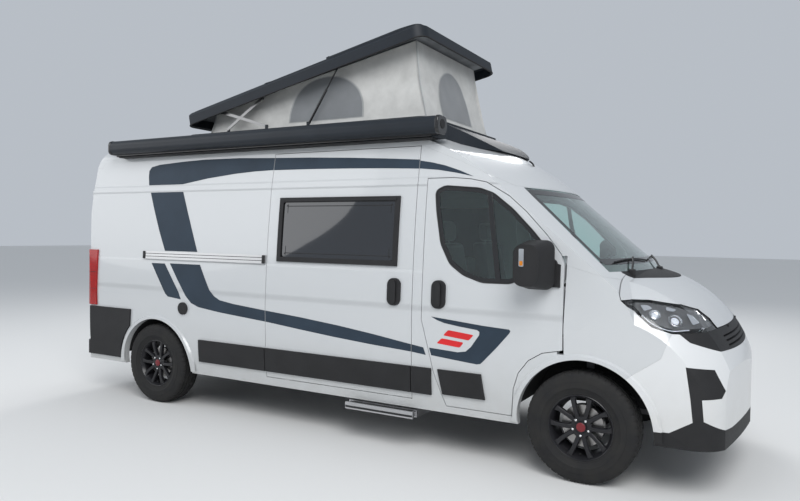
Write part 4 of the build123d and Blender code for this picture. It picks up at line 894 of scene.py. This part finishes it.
def bowl(name, spot, normal, radius, material, body, slot, hollow=True):
    """Reflector bowl, or a lens where it isn't hollow, facing along normal."""
    turn = normal.to_track_quat("Z", "Y").to_matrix().to_4x4()
    bm = bmesh.new()
    bmesh.ops.create_uvsphere(bm, u_segments=40, v_segments=20, radius=radius)
    far = [v for v in bm.verts if (v.co.z > 0.001 if hollow else v.co.z < -0.001)]
    bmesh.ops.delete(bm, geom=far, context="VERTS")
    for vert in bm.verts:
        vert.co.z *= 0.3
    bmesh.ops.transform(bm, matrix=Matrix.Translation(spot) @ turn, verts=bm.verts)
    return from_bmesh(name, bm, material, body, slot)


def build_lamps():
    for side, word in SIDES:
        skin = Skin("headlamps")
        for k, (x, z, radius) in enumerate(LAMP_BOWLS):
            spot, normal = skin.side(x, z, side)
            bowl(f"lamp_bowl_{k}_{word}", spot - normal * 0.012, normal, radius, CHROME, "body", "lamp_clear")
            bowl(f"lamp_lens_{k}_{word}", spot - normal * 0.022, normal, radius * 0.55, LAMP_GLOW, "body",
                 "lamp_clear", False)
        points = []
        for x, z in LAMP_STRIP:
            spot, normal = skin.side(x, z, side)
            points.append(spot - normal * 0.008)
        tube(f"lamp_strip_{word}", points, 0.0035, LAMP_GLOW, "body", "lamp_clear", 10)


# Mirrors: arms and the two glasses
def build_mirrors():
    for side, word in SIDES:
        body = f"front_door_{word}"
        for k, z in enumerate((1.35, 1.448)):
            path = [
                (1.845, side * 1.012, z), (1.82, side * 1.07, z + 0.006), (1.775, side * 1.11, z + 0.004),
            ]
            tube(f"mirror_arm_{k}_{word}", path, 0.019, BLACK, body, "black_plastic", 18)
        skin = Skin(f"door_fittings_{word}")
        for k, (low, high) in enumerate(((1.395, 1.57), (1.3, 1.372))):
            loop = rounded(rectangle(side * 1.085, side * 1.225, low, high), 0.03)
            bm = bmesh.new()
            bm.faces.new([
                bm.verts.new(skin.cast((1.2, y, z), ALONG)[0] - ALONG * 0.0015) for y, z in loop])
            from_bmesh(f"mirror_glass_{k}_{word}", bm, MIRROR, body, "strut_chrome")


# Tent: walls that lean in towards the lid, with piping, side and front nets
TENT_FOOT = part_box("pop_top_tent")[0].z
TENT_X = (-1.68, 0.675)
TENT_TOP_X = (-1.612, 0.545)
TENT_TOP_Z = (2.766, 3.198)
TENT_HALF = 0.622
TENT_LEAN = 0.0798
TENT_SEEDS = (6.0, 4.0)
REAR_END, FRONT_END = 0, 1


def tent_top(x):
    share = (x - TENT_TOP_X[0]) / (TENT_TOP_X[1] - TENT_TOP_X[0])
    return TENT_TOP_Z[0] + share * (TENT_TOP_Z[1] - TENT_TOP_Z[0])


def tent_half(z):
    return TENT_HALF - (z - 2.5) * TENT_LEAN


def slack(along, share, seed):
    """How far the cloth hangs in from its straight wall."""
    sag = sin(pi * min(1.0, max(0.0, share)))
    wave = sin(along * 7.0 + seed) * 0.5 + sin(along * 17.0 + seed * 2.3 + share * 3.0) * 0.3
    pleat = sin(along * 41.0 + share * 9.0 + seed) * 0.16 * (1.3 - share)
    fold = exp(-((share - 0.52) / 0.035) ** 2) * 0.35
    return (0.012 + 0.008 * wave + 0.013 * pleat) * sag + 0.008 * fold


def tent_side(x, z, side, lift=0.0):
    """Point of a side wall at (x, z)."""
    share = (z - TENT_FOOT) / max(0.05, tent_top(x) - TENT_FOOT)
    return Vector((x, side * (tent_half(z) - slack(x, share, side) + lift), z))


def tent_end(y, z, end, lift=0.0):
    """Point of the front (end 1) or rear (end 0) wall at (y, z)."""
    share = (z - TENT_FOOT) / (TENT_TOP_Z[end] - TENT_FOOT)
    straight = TENT_X[end] + share * (TENT_TOP_X[end] - TENT_X[end])
    inwards = slack(y, share, TENT_SEEDS[end]) - lift
    return Vector((straight - inwards if end else straight + inwards, y, z))


def tent_column(wall, along, rows):
    """Points of one column of a wall, from its foot up."""
    out = []
    for row in range(rows + 1):
        share = row / rows
        if wall in (RIGHT, LEFT):
            foot_x = TENT_X[0] + along * (TENT_X[1] - TENT_X[0])
            top_x = TENT_TOP_X[0] + along * (TENT_TOP_X[1] - TENT_TOP_X[0])
            z = TENT_FOOT + share * (tent_top(top_x) - TENT_FOOT)
            out.append(tent_side(foot_x + share * (top_x - foot_x), z, wall))
        else:
            end = FRONT_END if wall == "front" else REAR_END
            z = TENT_FOOT + share * (TENT_TOP_Z[end] - TENT_FOOT)
            out.append(tent_end((2 * along - 1) * tent_half(z), z, end))
    return out


def half_dome(width, height, steps=28):
    """Outline (across, up) of a net: straight foot, round top."""
    turns = [pi * k / steps for k in range(steps + 1)]
    return [(cos(turn) * width / 2, 0.055 + height * sin(turn) ** 0.75) for turn in turns]


def net_piece(name, centre, width, height, place, wall, material, lift, shrink):
    """Net or its hem on a wall; place(u, z, wall, lift) gives the wall's points."""
    outline = half_dome(width - 2 * shrink, height - shrink)
    rows = 10
    verts = []
    columns = len(outline) // 2
    for k in range(columns + 1):
        right, up = outline[k]
        left = outline[len(outline) - 1 - k][0]
        for row in range(rows + 1):
            u = centre + right + (left - right) * row / rows
            verts.append(place(u, TENT_FOOT + up + shrink * 0.4, wall, lift))
    return piece(name, verts, grid(columns + 1, rows + 1), material, "body", "canvas", 60.0)


def build_tent():
    rows = 26
    columns = []
    for wall, count in ((RIGHT, 110), ("front", 56), (LEFT, 110), ("rear", 56)):
        for k in range(count):
            along = 1 - k / count if wall in (LEFT, "rear") else k / count
            columns.append(tent_column(wall, along, rows))
    verts = [point for column in columns for point in column]
    faces = [(a, d, c, b) for a, b, c, d in grid(len(columns), rows + 1, True)]
    walls = piece("tent_walls", verts, faces, CANVAS, "body", "canvas", 60.0)
    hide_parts("pop_top_tent")
    on_it = []
    for word, place, wall, centre, width, height in (
        ("right", tent_side, RIGHT, -0.325, 0.8, 0.385), ("left", tent_side, LEFT, -0.325, 0.8, 0.385),
        ("front", tent_end, FRONT_END, 0.0, 0.6, 0.44),
    ):
        for name, material, lift, shrink in (
            ("net_hem", CANVAS_SEAM, 0.0016, 0.0), ("net", NET, 0.003, 0.016),
        ):
            on_it.append(net_piece(
                f"{name}_{word}", centre, width, height, place, wall, material, lift, shrink))
    for side, word in SIDES:
        for end, end_word in ((FRONT_END, "front"), (REAR_END, "rear")):
            levels = [TENT_FOOT + (TENT_TOP_Z[end] - TENT_FOOT) * k / 8 for k in range(9)]
            path = [tent_end(side * tent_half(z), z, end) for z in levels]
            name = f"tent_piping_{end_word}_{word}"
            on_it.append(tube(name, path, 0.0055, CANVAS_SEAM, "body", "canvas", 8))
        hem = [tent_side(TENT_X[0] + (TENT_X[1] - TENT_X[0]) * k / 12, TENT_FOOT + 0.02, side)
               for k in range(13)]
        on_it.append(tube(f"tent_hem_{word}", hem, 0.006, CANVAS_SEAM, "body", "canvas", 8))
    for part in [walls] + on_it:
        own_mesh(part)


# Lid: edge seal, raised top panels, liner
LID_OPEN = Matrix.Rotation(radians(-12.0), 3, "Y")
LID_PIVOT = Vector((-2.18, 0, 2.56))
LID_STEPS = (
    # rear end, height over the shell
    (-0.9, 0.008), (-0.2, 0.02),
)
STEP_FRONT, STEP_HALF = 0.742, 0.722
LID_CELLS = 14
LID_SINK = 0.004


def on_lid(x, y, z):
    """Place on the open lid, from its place on the shut one."""
    return LID_PIVOT + LID_OPEN @ (Vector((x, y, z)) - LID_PIVOT)


def build_lid():
    skin = Skin("pop_top_lid")
    up = LID_OPEN @ UPWARDS
    for k, (rear, lift) in enumerate(LID_STEPS):
        bm = bmesh.new()
        loop = rounded(rectangle(rear, STEP_FRONT, -STEP_HALF, STEP_HALF, True), 0.08)
        bm.faces.new([bm.verts.new((p.x, p.y, 0)) for p in loop])
        for axis, low, high in ((ALONG, rear, STEP_FRONT), (ACROSS, -STEP_HALF, STEP_HALF)):
            cut_into_cells(bm, axis, low, high, LID_CELLS)
        for vert in bm.verts:
            spot, _ = skin.cast(on_lid(vert.co.x, vert.co.y, 4.0), -up)
            vert.co = spot + up * lift
        thicken(bm, -up * (lift + LID_SINK))
        top = from_bmesh(f"lid_step_{k}", bm, LID_BLACK, "pop_top", "dark_metal", 30.0)
        bevelled(top, 0.006, 3, 40.0)
    rim = rounded(rectangle(-1.862, 0.764, -0.743, 0.743, True), 0.104, 8)
    path = [on_lid(p.x, p.y, 2.5715) for p in rim]
    tube("lid_seal", path + path[:1], 0.007, RUBBER, "pop_top", "dark_metal", 10, False)
    inner = rounded(rectangle(-1.812, 0.742, -0.655, 0.655, True), 0.09, 8)
    corners = [on_lid(p.x, p.y, 2.64) for p in inner]
    liner = piece("lid_liner", corners, [tuple(range(len(inner)))], LID_LINER, "pop_top", "dark_metal")
    turn_faces(liner, -UPWARDS)


# Awning: end caps with their covers, and the rail under the case
CASE_Y, CASE_Z = -0.985, 2.428
CASE_HALF_Y, CASE_HALF_Z = 0.075, 0.0665
CAP_OVER = 0.003
CAP_SUNK = 0.018
CAP_THICK = 0.03


def build_awning():
    low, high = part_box("awning")
    rear, front = low.x, high.x
    box_piece("awning_fabric_roll", (rear + 0.015, -1.02, 2.3585), (front - 0.015, -0.96, 2.366), RUBBER,
              "body", "dark_metal", 0.003)
    for word, at, out in (("rear", rear, -1), ("front", front, 1)):
        case = rectangle(CASE_Y - CASE_HALF_Y - CAP_OVER, CASE_Y + CASE_HALF_Y,
                         CASE_Z - CASE_HALF_Z - CAP_OVER, CASE_Z + CASE_HALF_Z + CAP_OVER, True)
        loop = rounded(case, 0.052, 8)
        bm = bmesh.new()
        bm.faces.new([bm.verts.new((at - out * CAP_SUNK, p.x, p.y)) for p in loop])
        thicken(bm, Vector((out * CAP_THICK, 0, 0)))
        cap = from_bmesh(f"awning_cap_{word}", bm, SMOOTH_BLACK, "body", "dark_metal", 30.0)
        bevelled(cap, 0.008, 4, 40.0)
        bm = bmesh.new()
        cylinder(bm, (at + out * 0.0125, CASE_Y, CASE_Z + 0.006), pi / 2, "Y", 48, 0.034, 0.008)
        bevelled(from_bmesh(f"awning_cap_disc_{word}", bm, BLACK, "body", "dark_metal"), 0.002)
    box_piece("awning_rail", (rear + 0.05, -0.985, 2.334), (front - 0.07, -0.888, 2.3625), BLACK, "body",
              "dark_metal", 0.006)
    box_piece("awning_rail_edge", (rear + 0.05, -1.0, 2.349), (front - 0.07, -0.985, 2.3625), SMOOTH_BLACK,
              "body", "dark_metal", 0.003)


# Sliding door rail: two dark strips of painted shade in its grooves, and black end caps
def build_rail():
    skin = Skin("side_rail")
    for k, z in enumerate((1.384, 1.41)):
        strip = rectangle(-2.128, -0.631, z, z + 0.005)
        # thin dark strip: painted shade inside each groove of the rail
        side_plate(f"rail_groove_shade_{k}", strip, skin, RIGHT, RUBBER, "body", "bare_aluminium", 0.0006, 0.3)
    for k, (start, end) in enumerate(((-2.132, -2.098), (-0.661, -0.627))):
        cap = rounded(rectangle(start, end, 1.3625, 1.4335), 0.006, 3)
        side_plate(f"rail_cap_{k}", cap, skin, RIGHT, BLACK, "body", "black_plastic", 0.003, 0.1, 0.003,
                   0.001)


# Entry step: ribs on the tread and a black edge
def build_step():
    low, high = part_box("step_tread")
    for k in range(7):
        y = low.y + 0.03 + k * 0.014
        start, end = (low.x + 0.03, y, high.z - 0.0085), (high.x - 0.03, y + 0.006, high.z - 0.0055)
        box_piece(f"step_rib_{k}", start, end, RUBBER, "step", "bare_aluminium", 0.001)
    start, end = (low.x + 0.004, low.y - 0.004, low.z + 0.012), (high.x - 0.004, low.y + 0.002, low.z + 0.026)
    box_piece("step_edge", start, end, BLACK, "step", "bare_aluminium", 0.0015)


# Seats: cushions, backs and headrests
SEAT_BLOCKS = (
    # low (x, half width, z), high x and z, lean of the top towards the rear
    (0.835, 0.235, 0.872, 1.335, 1.01, 0.0),
    (0.815, 0.235, 0.985, 0.93, 1.56, 0.095),
    (0.742, 0.128, 1.578, 0.822, 1.738, 0.01),
)


def build_seats():
    bm = bmesh.new()
    for y in (-0.43, 0.43):
        for x_low, half, z_low, x_high, z_high, lean in SEAT_BLOCKS:
            block = cuboid((x_low, y - half, z_low), (x_high, y + half, z_high))
            for vert in bmesh.ops.create_cube(bm, size=1.0, matrix=block)["verts"]:
                vert.co.x -= lean * (vert.co.z - z_low) / (z_high - z_low)
    cushions = from_bmesh("seat_cushions", bm, SEAT, "body", "seat_fabric", 60.0)
    bevelled(cushions, 0.038, 6)
    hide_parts("seats")
    for side, word in SIDES:
        y = side * 0.43
        box_piece(f"seat_base_{word}", (0.855, y - 0.195, 0.5445), (1.245, y + 0.195, 0.876), BLACK, "body",
                  "seat_fabric", 0.012)
        for k, across in enumerate((-0.05, 0.05)):
            tube(f"seat_post_{word}_{k}", [(0.778, y + across, 1.545), (0.78, y + across, 1.6)], 0.006,
                 CHROME, "body", "strut_chrome", 10, False)


# Small parts: aerial and rear door handle
def build_small():
    spot, _ = Skin("roof_panel").cast((1.36, 0, 4.0), (0, 0, -1))
    tube("aerial", [spot - Vector((0, 0, 0.004)), spot + Vector((-0.012, 0, 0.022)),
                    spot + Vector((-0.04, 0, 0.045))], 0.007, BLACK, "body", "black_plastic", 12)
    skin = Skin("rear_door_right")
    spot, _ = skin.cast((-4.0, -0.1, 1.1), (1, 0, 0))
    box_piece("rear_handle", (spot.x - 0.024, -0.135, 1.02), (spot.x + 0.006, -0.065, 1.19), BLACK,
              "rear_door_right", "black_plastic", 0.01)


# Floor, light and camera
CAMERA_PLACE = (3.253, -5.506, 1.628)
CAMERA_YAW = radians(-29.83)
CAMERA_PITCH = radians(-1.36)
CAMERA_ROLL = radians(0.84)
CAMERA_LENS = 31.08


def build_stage():
    scene = bpy.context.scene
    scene.view_settings.view_transform = "Standard"
    floor = put("floor", bpy.data.meshes.new("floor"))
    floor.data.from_pydata([(-60, -60, 0), (60, -60, 0), (60, 60, 0), (-60, 60, 0)], [], [(0, 1, 2, 3)])
    floor.data.materials.append(shader("floor_pale", (0.74, 0.74, 0.73), 0.9))
    world = bpy.data.worlds.new("studio")
    world.use_nodes = True
    world.node_tree.nodes["Background"].inputs["Color"].default_value = (0.8, 0.86, 0.94, 1)
    world.node_tree.nodes["Background"].inputs["Strength"].default_value = 0.6
    scene.world = world
    lamps = (
        # name, place, aim, size, power
        ("key", (5.5, -7.5, 8.0), (0, 0, 1.0), 6.5, 820.0),
        ("fill", (-8.0, -6.5, 5.0), (-0.5, 0, 1.2), 8.0, 230.0),
        ("back", (-3.0, 8.0, 7.0), (0, 0, 1.5), 6.0, 420.0),
    )
    for name, place, aim, size, power in lamps:
        lamp = bpy.data.lights.new(name, "AREA")
        lamp.shape = "DISK"
        lamp.size = size
        lamp.energy = power
        made = put(name, lamp)
        made.location = place
        made.rotation_euler = (Vector(aim) - Vector(place)).to_track_quat("-Z", "Y").to_euler()
    forward = Vector((
        sin(CAMERA_YAW) * cos(CAMERA_PITCH), cos(CAMERA_YAW) * cos(CAMERA_PITCH), sin(CAMERA_PITCH),
    ))
    right = forward.cross(UPWARDS).normalized()
    up = right.cross(forward)
    level = Matrix((right, up, -forward)).transposed()
    camera = bpy.data.cameras.new("camera")
    camera.lens = CAMERA_LENS
    camera.sensor_width = 36.0
    camera.clip_end = 200.0
    made = put("camera", camera)
    turned = level @ Matrix.Rotation(CAMERA_ROLL, 3, "Z")
    made.matrix_world = Matrix.Translation(CAMERA_PLACE) @ turned.to_4x4()
    scene.camera = made


dress_frame()
for build in (
    build_plates, build_bands, build_wheels, build_wipers, build_lamps, build_mirrors, build_tent, build_lid,
    build_awning, build_rail, build_step, build_seats, build_small, build_stage,
):
    build()
